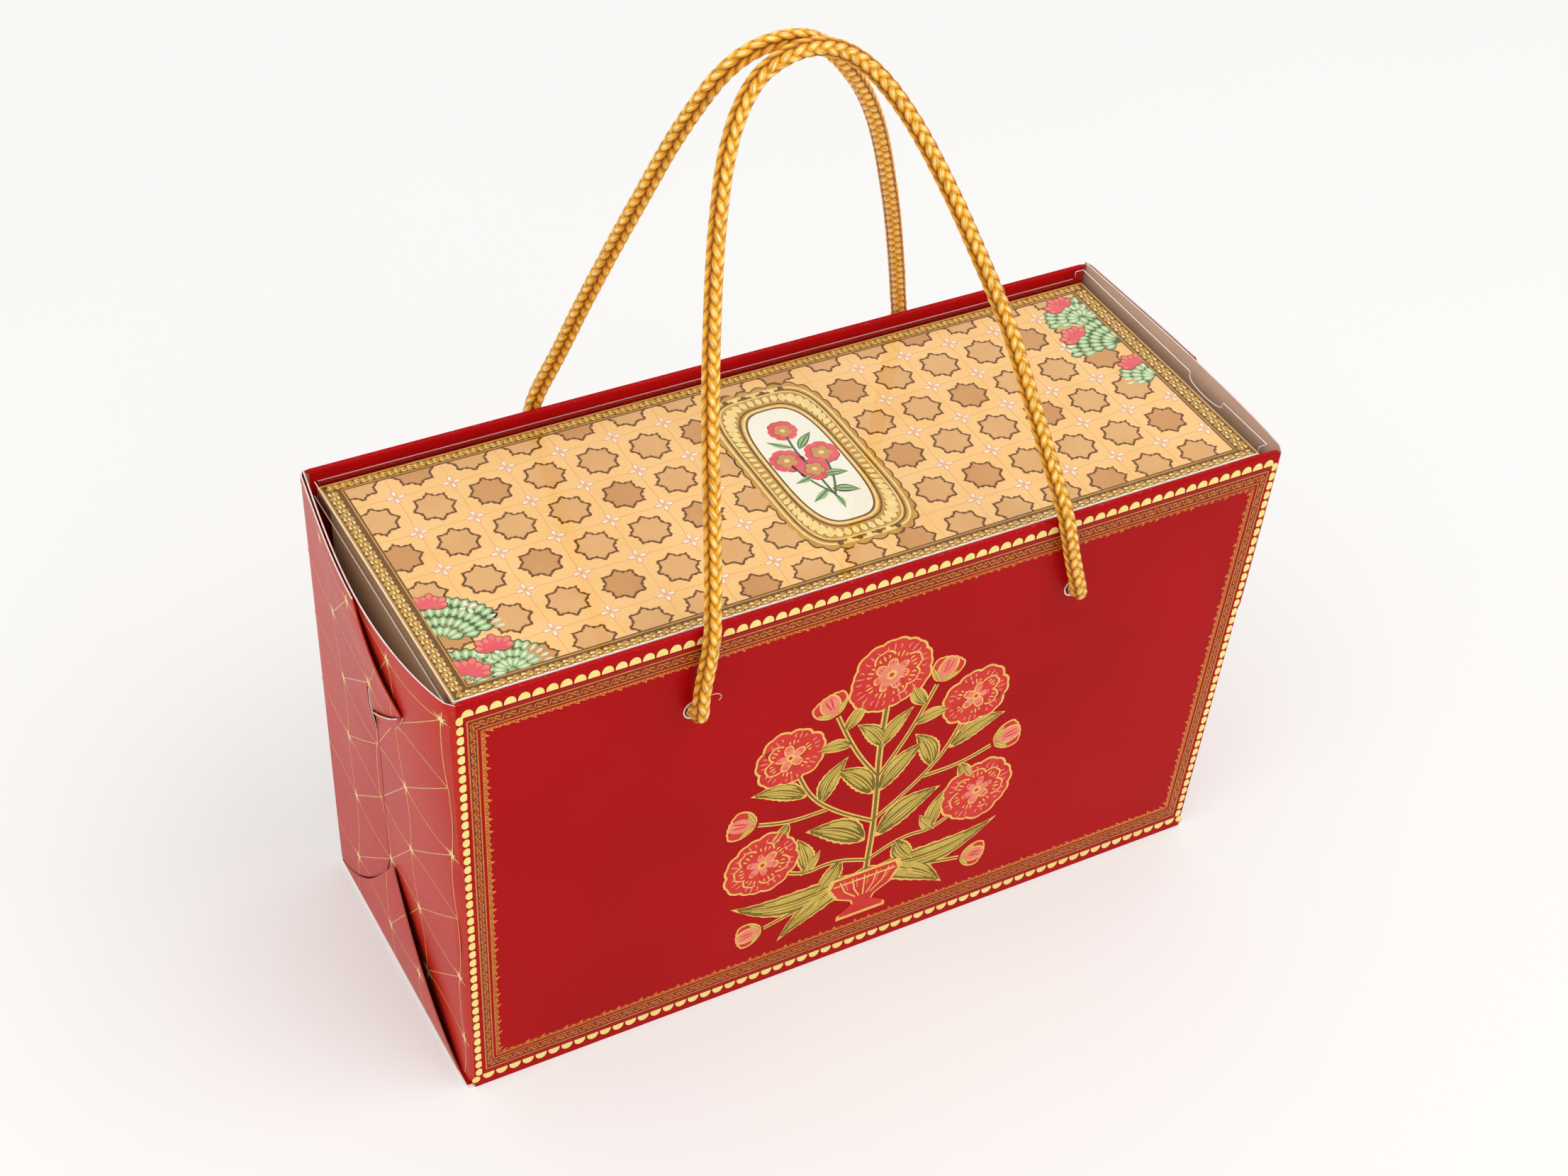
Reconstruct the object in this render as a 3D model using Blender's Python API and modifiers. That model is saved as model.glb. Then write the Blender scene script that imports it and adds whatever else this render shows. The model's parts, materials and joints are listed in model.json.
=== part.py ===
"""Hamper box: a folded board carrier with two cord handles that holds a lidded inner box under a clear cover.

Metres, +Z up. The long side runs along X and the printed front faces -Y. The origin is on the table under the
middle of the box. Left is -X and right is +X.
"""
import math

import bmesh
import bpy
from mathutils import Matrix, Vector

# Carrier: outer sizes of the front panel's face, and the board it is folded from
TOP_LENGTH = 0.305
BASE_LENGTH = 0.295
TOP_DEPTH = 0.123
BASE_DEPTH = 0.118
HEIGHT = 0.183
BOARD = 0.0009
GAP = 0.0003
HEM_DEPTH = 0.045

# End walls: how far they bow out at the rim, and how the bow spreads over depth and height
LEFT_BOW = 0.0078
RIGHT_BOW = 0.0022
BOW_SKEW_SHARE = 0.75
BOW_HEIGHT_POWER = 1.6
DEPTH_STEPS = 14
HEIGHT_STEPS = 14

# Hook-locked outer flap of an end wall. Shares are of half the base's depth and of the height.
FREE_EDGE_SHARES = ((-0.075, 1.0), (-0.565, 0.862))
HOOK_SHARES = ((-0.565, 0.856), (-0.40, 0.812), (-0.214, 0.769), (-0.135, 0.753), (-0.094, 0.748), (-0.088, 0.775))
THROAT_SHARES = ((-0.075, 0.775), (-0.078, 0.745), (-0.092, 0.700), (-0.027, 0.543), (0.046, 0.406), (0.056, 0.30))
FREE_EDGE_LIFT = 0.0015
FREE_EDGE_STEPS = 16

# Triangular flap that folds up from the base over an end wall
BASE_FLAP_HEIGHT = 0.057
BASE_FLAP_PEAK_SHARE = -0.035
BASE_FLAP_BEND_SHARE = 0.568
BASE_FLAP_BEND_HEIGHT = 0.0065
BASE_FLAP_FRONT_SHARE = -0.86
BASE_FLAP_LIFT = 0.0026
BASE_FLAP_GAP = 0.0008
HOLLOW_STEPS = 8

# Cord handles and their punched holes
CORD_DIAMETER = 0.006
HOLE_CLEARANCE = 0.0003
HOLE_SPACING = 0.1432
HOLE_SHIFT = 0.0009
HOLE_DROP = 0.0335
KNOT_WIDTH = 0.0135
KNOT_THICKNESS = 0.0090
KNOT_TAIL = 0.0125
SAMPLES_PER_STEP = 2
CORD_SIDE_RESOLUTION = 3

# Inner box, which stands a little behind the carrier's middle. Room is for both sides together.
INNER_WALL = 0.0008
INNER_SIDE_ROOM = 0.0216
INNER_SHIFT = 0.0012

# Printed lid, which overhangs the inner box's ends, and the frame under it that finds the box's walls
LID_END_ROOM = 0.0052
LID_SIDE_ROOM = 0.0058
LID_END_OVERHANG = 0.0014
LID_THICKNESS = 0.0015
LID_DROP = 0.0060
LID_FIT = 0.0005
FRAME_WALL = 0.0012
FRAME_DEPTH = 0.0060

# Clear cover over the lid
COVER_WALL = 0.0005
COVER_RADIUS = 0.0030
COVER_SKIRT = 0.0040
COVER_RIM = 0.0014
COVER_TAB_RISE = 0.0044
NOTCH_WIDTH = 0.020
NOTCH_DEPTH = 0.0041
NOTCH_CENTRE_SHARE = -0.36
ROUND_STEPS = 6

# What every cut runs past the solid it cuts
OVERRUN = 0.010

# Worked out from the sizes above
LAYER = BOARD + GAP
HEM_REACH = BOARD + LAYER
CORD_RADIUS = CORD_DIAMETER / 2
HOLE_RADIUS = CORD_RADIUS + HOLE_CLEARANCE
LID_LENGTH = TOP_LENGTH - 2 * BOARD - LID_END_ROOM
LID_DEPTH = TOP_DEPTH - 2 * HEM_REACH - LID_SIDE_ROOM
INNER_TOP_LENGTH = LID_LENGTH - LID_END_OVERHANG
INNER_DEPTH = min(TOP_DEPTH, BASE_DEPTH) - 2 * LAYER - INNER_SIDE_ROOM
LID_TOP = HEIGHT - LID_DROP
LID_UNDERSIDE = LID_TOP - LID_THICKNESS
INNER_TOP = LID_UNDERSIDE - GAP
COVER_FLOOR = LID_TOP + GAP
COVER_TOP = COVER_FLOOR + COVER_WALL + COVER_TAB_RISE

# Each cord's route from its left hole to its right one: x along the box, y out from its middle, z up.
FRONT_ROUTE = (
    (-0.0707, 0.0614, 0.1496), (-0.0707, 0.0624, 0.1496), (-0.0708, 0.0640, 0.1500),
    (-0.0709, 0.0653, 0.1510), (-0.0710, 0.0662, 0.1527), (-0.0712, 0.0666, 0.1550),
    (-0.0711, 0.0665, 0.1600), (-0.0702, 0.0661, 0.1665), (-0.0686, 0.0654, 0.1750),
    (-0.0676, 0.0646, 0.1835), (-0.0666, 0.0620, 0.1920), (-0.0648, 0.0573, 0.2035),
    (-0.0620, 0.0490, 0.2240), (-0.0592, 0.0408, 0.2442), (-0.0559, 0.0328, 0.2639),
    (-0.0517, 0.0243, 0.2851), (-0.0480, 0.0182, 0.3001), (-0.0433, 0.0122, 0.3148),
    (-0.0370, 0.0073, 0.3271), (-0.0286, 0.0040, 0.3360), (-0.0179, 0.0034, 0.3408),
    (-0.0072, 0.0034, 0.3405), (0.0030, 0.0041, 0.3352), (0.0120, 0.0074, 0.3264),
    (0.0210, 0.0132, 0.3123), (0.0303, 0.0213, 0.2925), (0.0389, 0.0302, 0.2705), (0.0467, 0.0393, 0.2482),
    (0.0521, 0.0481, 0.2263), (0.0572, 0.0566, 0.2052), (0.0612, 0.0629, 0.1890), (0.0633, 0.0652, 0.1790),
    (0.0654, 0.0655, 0.1710), (0.0675, 0.0659, 0.1635), (0.0695, 0.0662, 0.1568), (0.0709, 0.0658, 0.1530),
    (0.0718, 0.0650, 0.1510), (0.0723, 0.0638, 0.1500), (0.0725, 0.0624, 0.1496), (0.0725, 0.0614, 0.1496),
)
BACK_ROUTE = (
    (-0.0707, 0.0614, 0.1496), (-0.0707, 0.0624, 0.1496), (-0.0707, 0.0640, 0.1500),
    (-0.0707, 0.0653, 0.1510), (-0.0707, 0.0662, 0.1527), (-0.0707, 0.0666, 0.1550),
    (-0.0706, 0.0665, 0.1600), (-0.0703, 0.0659, 0.1685), (-0.0697, 0.0652, 0.1780),
    (-0.0682, 0.0636, 0.1870), (-0.0663, 0.0602, 0.1965), (-0.0638, 0.0546, 0.2105),
    (-0.0610, 0.0464, 0.2305), (-0.0576, 0.0383, 0.2505), (-0.0543, 0.0310, 0.2685),
    (-0.0509, 0.0240, 0.2856), (-0.0470, 0.0167, 0.3040), (-0.0426, 0.0101, 0.3200),
    (-0.0366, 0.0050, 0.3334), (-0.0282, 0.0034, 0.3400), (-0.0175, 0.0034, 0.3416),
    (-0.0080, 0.0036, 0.3394), (0.0006, 0.0052, 0.3324), (0.0090, 0.0089, 0.3228),
    (0.0178, 0.0137, 0.3113), (0.0266, 0.0196, 0.2968), (0.0350, 0.0264, 0.2802), (0.0430, 0.0335, 0.2622),
    (0.0510, 0.0410, 0.2436), (0.0590, 0.0491, 0.2238), (0.0666, 0.0570, 0.2042), (0.0722, 0.0631, 0.1890),
    (0.0746, 0.0650, 0.1805), (0.0753, 0.0658, 0.1705), (0.0749, 0.0664, 0.1615), (0.0741, 0.0666, 0.1556),
    (0.0733, 0.0661, 0.1527), (0.0728, 0.0652, 0.1510), (0.0726, 0.0640, 0.1500), (0.0725, 0.0624, 0.1496),
    (0.0725, 0.0614, 0.1496),
)

LEFT, RIGHT, FRONT, BACK = -1, 1, -1, 1
BOWS = {LEFT: LEFT_BOW, RIGHT: RIGHT_BOW}
END_NAMES = {LEFT: "left", RIGHT: "right"}
SIDE_NAMES = {FRONT: "front", BACK: "back"}
ROUTES = {FRONT: FRONT_ROUTE, BACK: BACK_ROUTE}


def half_length(z):
    """Half the front panel's length at height z."""
    return (BASE_LENGTH + (TOP_LENGTH - BASE_LENGTH) * z / HEIGHT) / 2


def half_depth(z):
    """Half the carrier's depth at height z."""
    return (BASE_DEPTH + (TOP_DEPTH - BASE_DEPTH) * z / HEIGHT) / 2


def end_face(side, y, z):
    """How far out the outer face of an end wall's inner layer lies at depth y and height z."""
    across = min(max((y / half_depth(z) + 1) / 2, 0), 1)
    up = min(max(z / HEIGHT, 0), 1)
    bow = BOWS[side] * math.sin(math.pi * across ** BOW_SKEW_SHARE) * up ** BOW_HEIGHT_POWER
    return half_length(z) + bow


def free_edge_lift(y, z):
    """How far an outer flap stands off the wall: it bulges along its slanting free edge, above the hook."""
    tip_y, tip_z = BASE_DEPTH / 2 * FREE_EDGE_SHARES[1][0], HEIGHT * FREE_EDGE_SHARES[1][1]
    across = max(half_depth(z) - y, 0) / (half_depth(z) - tip_y)
    up = min(max((z - tip_z) / (HEIGHT - tip_z), 0), 1)
    return FREE_EDGE_LIFT * across ** 2 * math.sin(math.pi * up)


def widest(side):
    """How far out an end wall reaches, which is somewhere on its outer flap's free edge."""
    (top_y, top_z), (tip_y, tip_z) = FREE_EDGE_SHARES
    reach = []
    for i in range(FREE_EDGE_STEPS + 1):
        t = i / FREE_EDGE_STEPS
        y, z = BASE_DEPTH / 2 * (top_y + (tip_y - top_y) * t), HEIGHT * (top_z + (tip_z - top_z) * t)
        reach.append(end_face(side, y, z) + LAYER + free_edge_lift(y, z))
    return max(reach)


CENTRE_X = (widest(LEFT) - widest(RIGHT)) / 2
PANEL_HEIGHT = math.hypot(HEIGHT, (TOP_DEPTH - BASE_DEPTH) / 2)
HOLE_Z = HEIGHT - HOLE_DROP * HEIGHT / PANEL_HEIGHT

for old in list(bpy.data.objects):
    bpy.data.objects.remove(old, do_unlink=True)

parts = bpy.data.collections.new("hamper_box")
cutters = bpy.data.collections.new("cutters")
bpy.context.scene.collection.children.link(parts)
bpy.context.scene.collection.children.link(cutters)

carrier_middle = bpy.data.objects.new("carrier_middle", None)
carrier_middle.location = (CENTRE_X, 0, 0)
parts.objects.link(carrier_middle)


def material(name, colour, roughness, metallic=0.0, alpha=1.0):
    made = bpy.data.materials.new(name)
    made.use_nodes = True
    shader = made.node_tree.nodes["Principled BSDF"]
    shader.inputs["Base Color"].default_value = (*colour, 1.0)
    shader.inputs["Roughness"].default_value = roughness
    shader.inputs["Metallic"].default_value = metallic
    shader.inputs["Alpha"].default_value = alpha
    made.diffuse_color = (*colour, alpha)
    return made


RED_BOARD = material("red_board", (0.40, 0.012, 0.016), 0.35)
BEIGE_BOARD = material("beige_board", (0.47, 0.36, 0.24), 0.65)
PRINTED_CARD = material("printed_card", (0.78, 0.52, 0.23), 0.25)
CLEAR_FILM = material("clear_film", (0.92, 0.93, 0.94), 0.05, alpha=0.25)
GOLD_CORD = material("gold_cord", (0.76, 0.42, 0.07), 0.45)


def finish_piece(made, finish, collection=parts):
    made.data.materials.clear()
    made.data.materials.append(finish)
    collection.objects.link(made)
    made.parent = carrier_middle
    return made


def mark_cutter(made):
    """A guide that only cuts or joins other pieces."""
    cutters.objects.link(made)
    made.parent = carrier_middle
    made.hide_render = True
    made.display_type = "WIRE"
    return made


def set_origin(made, origin):
    """Moves a piece's own origin onto its joint's axis without moving the piece."""
    made.data.transform(Matrix.Translation(-Vector(origin)))
    made.location = origin
    return made


def boolean(made, operation, tool):
    cut = made.modifiers.new(operation.lower(), "BOOLEAN")
    cut.operation = operation
    cut.object = tool
    cut.solver = "EXACT"
    return made


def mesh_object(name, mesh):
    return bpy.data.objects.new(name, mesh)


def block(name, low, high):
    """An object with a box between two corners."""
    shape = bmesh.new()
    size = Vector(high) - Vector(low)
    middle = (Vector(high) + Vector(low)) / 2
    bmesh.ops.create_cube(shape, size=1, matrix=Matrix.Translation(middle) @ Matrix.Diagonal((*size, 1)))
    mesh = bpy.data.meshes.new(name)
    shape.to_mesh(mesh)
    shape.free()
    return mesh_object(name, mesh)


def plate(name, loops, low, high, frame=Matrix.Identity(4)):
    """A flat outline, with any holes as further loops, as a solid from low to high along its normal."""
    outline = bpy.data.curves.new(name, "CURVE")
    outline.dimensions = "2D"
    outline.fill_mode = "BOTH"
    outline.extrude = (high - low) / 2
    for loop in loops:
        spline = outline.splines.new("POLY")
        spline.points.add(len(loop) - 1)
        for point, (across, up) in zip(spline.points, loop):
            point.co = (across, up, 0, 1)
        spline.use_cyclic_u = True
    guide = bpy.data.objects.new(name + "_outline", outline)
    bpy.context.scene.collection.objects.link(guide)
    bpy.context.view_layer.update()
    mesh = bpy.data.meshes.new_from_object(guide.evaluated_get(bpy.context.evaluated_depsgraph_get()))
    bpy.data.objects.remove(guide, do_unlink=True)
    shape = bmesh.new()
    shape.from_mesh(mesh)
    bmesh.ops.remove_doubles(shape, verts=shape.verts, dist=GAP / 30)
    bmesh.ops.recalc_face_normals(shape, faces=shape.faces)
    shape.to_mesh(mesh)
    shape.free()
    mesh.transform(frame @ Matrix.Translation((0, 0, (low + high) / 2)))
    return mesh_object(name, mesh)


def ring_points(centre, radius, count=24):
    return [(centre[0] + radius * math.cos(2 * math.pi * i / count),
             centre[1] + radius * math.sin(2 * math.pi * i / count)) for i in range(count)]


def panel_frame(side):
    """Local x along the box, local y up the leaning panel, local z out of its outer face."""
    lean = Vector((0, side * (TOP_DEPTH - BASE_DEPTH) / 2, HEIGHT)).normalized()
    along = Vector((-side, 0, 0))
    out = along.cross(lean)
    frame = Matrix((along, lean, out)).transposed().to_4x4()
    frame.translation = (0, side * BASE_DEPTH / 2, 0)
    return frame


def yz_prism(name, outline, side):
    """A cutter with an outline of depth and height that runs out through one end wall."""
    low = min(half_length(0), half_length(HEIGHT)) - OVERRUN
    high = max(half_length(0), half_length(HEIGHT)) + max(LEFT_BOW, RIGHT_BOW) + OVERRUN
    frame = Matrix(((0, 0, side), (1, 0, 0), (0, 1, 0))).to_4x4()
    made = plate(name, [outline], low, high, frame)
    if side == LEFT:
        made.data.flip_normals()
    return mark_cutter(made)


def end_sheet(name, side, y_low, y_high, z_low, z_high, out, lift=None):
    """A bowed sheet of board whose outer face lies out beyond the end wall's inner layer."""
    shape = bmesh.new()
    rows = []
    for i in range(HEIGHT_STEPS + 1):
        z = z_low + (z_high - z_low) * i / HEIGHT_STEPS
        first, last = y_low(z), y_high(z)
        row = []
        for j in range(DEPTH_STEPS + 1):
            y = first + (last - first) * j / DEPTH_STEPS
            proud = lift(y, z) if lift else 0
            row.append(shape.verts.new((side * (end_face(side, y, z) + out + proud), y, z)))
        rows.append(row)
    for low_row, high_row in zip(rows, rows[1:]):
        for j in range(DEPTH_STEPS):
            corners = (low_row[j], low_row[j + 1], high_row[j + 1], high_row[j])
            shape.faces.new(corners if side == RIGHT else corners[::-1])
    mesh = bpy.data.meshes.new(name)
    shape.to_mesh(mesh)
    shape.free()
    made = mesh_object(name, mesh)
    thick = made.modifiers.new("board", "SOLIDIFY")
    thick.thickness = BOARD
    thick.offset = -1
    return made


# Carrier base and panels

def base_panel():
    half_x = BASE_LENGTH / 2 + LAYER
    half_y = BASE_DEPTH / 2 - LAYER
    made = block("carrier_base", (-half_x, -half_y, 0), (half_x, half_y, BOARD))
    return finish_piece(made, RED_BOARD)


def hole_x(end):
    return HOLE_SHIFT + end * HOLE_SPACING / 2


def hole_centres(side):
    """The punched holes' middles in a panel's own frame."""
    along_panel = PANEL_HEIGHT - HOLE_DROP
    return [(-side * hole_x(end), along_panel) for end in (LEFT, RIGHT)]


def side_panel(side):
    """The printed front or the back, whose side edges meet the layer of the end wall that it carries."""
    extra = LAYER if side == BACK else 0
    low, high = half_length(0) + extra, half_length(HEIGHT) + extra
    loops = [[(-low, 0), (low, 0), (high, PANEL_HEIGHT), (-high, PANEL_HEIGHT)]]
    loops += [ring_points(centre, HOLE_RADIUS) for centre in hole_centres(side)]
    made = plate("carrier_" + SIDE_NAMES[side] + "_panel", loops, -BOARD, 0, panel_frame(side))
    return finish_piece(made, RED_BOARD)


def top_hem(side):
    """The strip turned in behind the rim, through which the handle's holes also pass."""
    low_z = HEIGHT - HEM_DEPTH
    hem_foot = PANEL_HEIGHT - HEM_DEPTH
    low, high = half_length(low_z) - LAYER - GAP, half_length(HEIGHT) - LAYER - GAP
    loops = [[(-low, hem_foot), (low, hem_foot), (high, PANEL_HEIGHT), (-high, PANEL_HEIGHT)]]
    loops += [ring_points(centre, HOLE_RADIUS) for centre in hole_centres(side)]
    made = plate(SIDE_NAMES[side] + "_top_hem", loops, -HEM_REACH, -LAYER, panel_frame(side))
    return finish_piece(made, RED_BOARD)


# End walls

def panel_inside(z):
    return half_depth(z) - LAYER


def front_flap(side):
    """The end wall's inner layer, folded from the front panel and as deep as the box."""
    made = end_sheet(END_NAMES[side] + "_front_flap", side, lambda z: -panel_inside(z), panel_inside,
                     LAYER, HEIGHT, 0)
    return finish_piece(made, RED_BOARD)


def hollow_edge():
    """The base flap's hollowed back edge, from the back corner to its peak."""
    start = Vector((BASE_DEPTH / 2 - LAYER - GAP, LAYER))
    bend = Vector((BASE_DEPTH / 2 * BASE_FLAP_BEND_SHARE, BASE_FLAP_BEND_HEIGHT))
    peak = Vector((BASE_DEPTH / 2 * BASE_FLAP_PEAK_SHARE, BASE_FLAP_HEIGHT))
    points = []
    for i in range(HOLLOW_STEPS + 1):
        t = i / HOLLOW_STEPS
        points.append(start * (1 - t) ** 2 + bend * 2 * t * (1 - t) + peak * t ** 2)
    return points


def base_flap(side):
    """The triangular flap that folds up from the base, outside the front flap."""
    name = END_NAMES[side] + "_base_flap"
    front = BASE_DEPTH / 2 * BASE_FLAP_FRONT_SHARE
    outline = [tuple(point) for point in hollow_edge()]
    outline += [(front, LAYER)]
    back = BASE_DEPTH / 2 - LAYER

    def lift(y, z):
        up = min(z / BASE_FLAP_HEIGHT, 1)
        return BASE_FLAP_LIFT * 4 * up * (1 - up) * (back - y) / (back - front)

    made = end_sheet(name, side, lambda z: front - LAYER, lambda z: back, LAYER - GAP,
                     BASE_FLAP_HEIGHT + GAP, LAYER, lift)
    boolean(made, "INTERSECT", yz_prism(name + "_outline", outline, side))
    return set_origin(finish_piece(made, RED_BOARD), (side * (BASE_LENGTH / 2 + LAYER), 0, 0))


def back_flap(side):
    """The end wall's outer layer, folded from the back panel, with the tab that hooks over the front flap."""
    name = END_NAMES[side] + "_back_flap"
    half = BASE_DEPTH / 2
    outline = [(panel_inside(HEIGHT) + OVERRUN, HEIGHT + OVERRUN)]
    outline += [(half * FREE_EDGE_SHARES[0][0], HEIGHT + OVERRUN)]
    for shares in (FREE_EDGE_SHARES, HOOK_SHARES, THROAT_SHARES):
        outline += [(half * across, HEIGHT * up) for across, up in shares]
    lower = [point + Vector((0, BASE_FLAP_GAP)) for point in hollow_edge()]
    corner = half * THROAT_SHARES[-1][0]
    outline += [tuple(point) for point in reversed(lower) if point.x > corner]
    outline += [(panel_inside(HEIGHT) + OVERRUN, LAYER + BASE_FLAP_GAP)]
    made = end_sheet(name, side, lambda z: half * FREE_EDGE_SHARES[1][0] - LAYER, panel_inside,
                     LAYER, HEIGHT, LAYER, free_edge_lift)
    boolean(made, "INTERSECT", yz_prism(name + "_outline", outline, side))
    return set_origin(finish_piece(made, RED_BOARD), (side * (BASE_LENGTH / 2 + LAYER), BASE_DEPTH / 2, 0))


# Cord handles

def smooth_route(points):
    """Points read from a smooth curve through the route's own points."""
    ends = [2 * points[0] - points[1], *points, 2 * points[-1] - points[-2]]
    route = []
    for i in range(len(points) - 1):
        before, start, end, after = ends[i:i + 4]
        for k in range(SAMPLES_PER_STEP):
            t = k / SAMPLES_PER_STEP
            route.append((2 * start + (end - before) * t + (2 * before - 5 * start + 4 * end - after) * t ** 2
                          + (3 * start - before - 3 * end + after) * t ** 3) / 2)
    route.append(points[-1])
    return route


def cord_handle(side):
    """One free loop of cord from the face of its panel at the left hole to the face at the right hole."""
    pivot = Vector((0, side * half_depth(HOLE_Z), HOLE_Z))
    route = smooth_route([Vector((x, side * y, z)) for x, y, z in ROUTES[side]])
    cord = bpy.data.curves.new(SIDE_NAMES[side] + "_handle_cord", "CURVE")
    cord.dimensions = "3D"
    cord.bevel_depth = CORD_RADIUS
    cord.bevel_resolution = CORD_SIDE_RESOLUTION
    cord.use_fill_caps = True
    spline = cord.splines.new("POLY")
    spline.points.add(len(route) - 1)
    for point, place in zip(spline.points, route):
        point.co = (*(place - pivot), 1)
    made = bpy.data.objects.new(cord.name, cord)
    made.location = pivot
    return finish_piece(made, GOLD_CORD)


def ball(name, centre, size):
    shape = bmesh.new()
    stretch = Matrix.Translation(centre) @ Matrix.Diagonal((*size, 1))
    bmesh.ops.create_uvsphere(shape, u_segments=20, v_segments=12, radius=0.5, matrix=stretch)
    mesh = bpy.data.meshes.new(name)
    shape.to_mesh(mesh)
    shape.free()
    mesh.shade_smooth()
    return mesh_object(name, mesh)


def rod(name, start, end):
    """A length of cord with round sides between two points."""
    direction = Vector(end) - Vector(start)
    turn = direction.to_track_quat("Z", "Y").to_matrix().to_4x4()
    frame = Matrix.Translation((Vector(start) + Vector(end)) / 2) @ turn
    shape = bmesh.new()
    bmesh.ops.create_cone(shape, cap_ends=True, segments=20, radius1=CORD_RADIUS, radius2=CORD_RADIUS,
                          depth=direction.length, matrix=frame)
    mesh = bpy.data.meshes.new(name)
    shape.to_mesh(mesh)
    shape.free()
    return mesh_object(name, mesh)


def cord_knot(side, end):
    """The knot behind a hole, with the stub of cord that fills both holes and its cut tail."""
    name = SIDE_NAMES[side] + "_" + END_NAMES[end] + "_knot"
    x = hole_x(end)
    face = half_depth(HOLE_Z)
    seat = face - HEM_REACH - GAP
    middle = seat - KNOT_THICKNESS / 2
    made = ball(name, (x, side * middle, HOLE_Z), (KNOT_WIDTH, KNOT_THICKNESS, KNOT_WIDTH))
    stub = mark_cutter(rod(name + "_stub", (x, side * middle, HOLE_Z), (x, side * face, HOLE_Z)))
    tail = mark_cutter(rod(name + "_tail", (x, side * middle, HOLE_Z), (x, side * middle, HOLE_Z - KNOT_TAIL)))
    boolean(made, "UNION", stub)
    boolean(made, "UNION", tail)
    return finish_piece(made, GOLD_CORD)


# Inner box

def inner_half_length(z):
    """Half the inner box's outer length at height z, which tapers as the carrier does."""
    return INNER_TOP_LENGTH / 2 - (half_length(INNER_TOP) - half_length(z))


def inner_end_wall(side):
    taper = (TOP_LENGTH - BASE_LENGTH) / 2 / HEIGHT
    lean = Vector((side * taper, 0, 1)).normalized()
    out = Vector((side * 1, 0, -taper)).normalized()
    frame = Matrix((lean.cross(out), lean, out)).transposed().to_4x4()
    frame.translation = (side * inner_half_length(LAYER), INNER_SHIFT, LAYER)
    tall = (INNER_TOP - LAYER) * math.hypot(1, taper)
    half = INNER_DEPTH / 2
    made = plate("inner_box_" + END_NAMES[side] + "_wall", [[(-half, 0), (half, 0), (half, tall), (-half, tall)]],
                 -INNER_WALL, 0, frame)
    return finish_piece(made, BEIGE_BOARD)


def inner_side_wall(side):
    """A long wall that fits between the two end walls."""
    short = INNER_WALL + 2 * GAP
    low, high = inner_half_length(LAYER) - short, inner_half_length(INNER_TOP) - short
    frame = Matrix(((-side, 0, 0), (0, 0, side), (0, 1, 0))).to_4x4()
    frame.translation = (0, INNER_SHIFT + side * INNER_DEPTH / 2, 0)
    outline = [(-low, LAYER), (low, LAYER), (high, INNER_TOP), (-high, INNER_TOP)]
    made = plate("inner_box_" + SIDE_NAMES[side] + "_wall", [outline], -INNER_WALL, 0, frame)
    return finish_piece(made, BEIGE_BOARD)


def inner_floor():
    half_x = inner_half_length(LAYER) - INNER_WALL - 2 * GAP
    half_y = INNER_DEPTH / 2 - INNER_WALL - GAP
    made = block("inner_box_floor", (-half_x, INNER_SHIFT - half_y, LAYER),
                 (half_x, INNER_SHIFT + half_y, LAYER + INNER_WALL))
    return finish_piece(made, BEIGE_BOARD)


def printed_lid():
    made = block("printed_lid", (-LID_LENGTH / 2, INNER_SHIFT - LID_DEPTH / 2, LID_UNDERSIDE),
                 (LID_LENGTH / 2, INNER_SHIFT + LID_DEPTH / 2, LID_TOP))
    return finish_piece(made, PRINTED_CARD)


def lid_frame():
    """The frame glued under the lid, which drops inside the inner box's walls."""
    low_z = INNER_TOP - FRAME_DEPTH
    half_x = inner_half_length(low_z) - INNER_WALL - LID_FIT
    half_y = INNER_DEPTH / 2 - INNER_WALL - LID_FIT
    made = block("lid_frame", (-half_x, INNER_SHIFT - half_y, low_z), (half_x, INNER_SHIFT + half_y, INNER_TOP))
    hole = block("lid_frame_hole",
                 (FRAME_WALL - half_x, INNER_SHIFT - half_y + FRAME_WALL, low_z - OVERRUN),
                 (half_x - FRAME_WALL, INNER_SHIFT + half_y - FRAME_WALL, INNER_TOP + OVERRUN))
    boolean(made, "DIFFERENCE", mark_cutter(hole))
    return finish_piece(made, BEIGE_BOARD)


# Clear cover

def rounded_rectangle(half_x, half_y, radius):
    points = []
    for corner, (sign_x, sign_y) in enumerate(((1, 1), (-1, 1), (-1, -1), (1, -1))):
        for i in range(ROUND_STEPS + 1):
            angle = math.pi / 2 * (corner + i / ROUND_STEPS)
            points.append((sign_x * (half_x - radius) + radius * math.cos(angle),
                           INNER_SHIFT + sign_y * (half_y - radius) + radius * math.sin(angle)))
    return points


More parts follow.
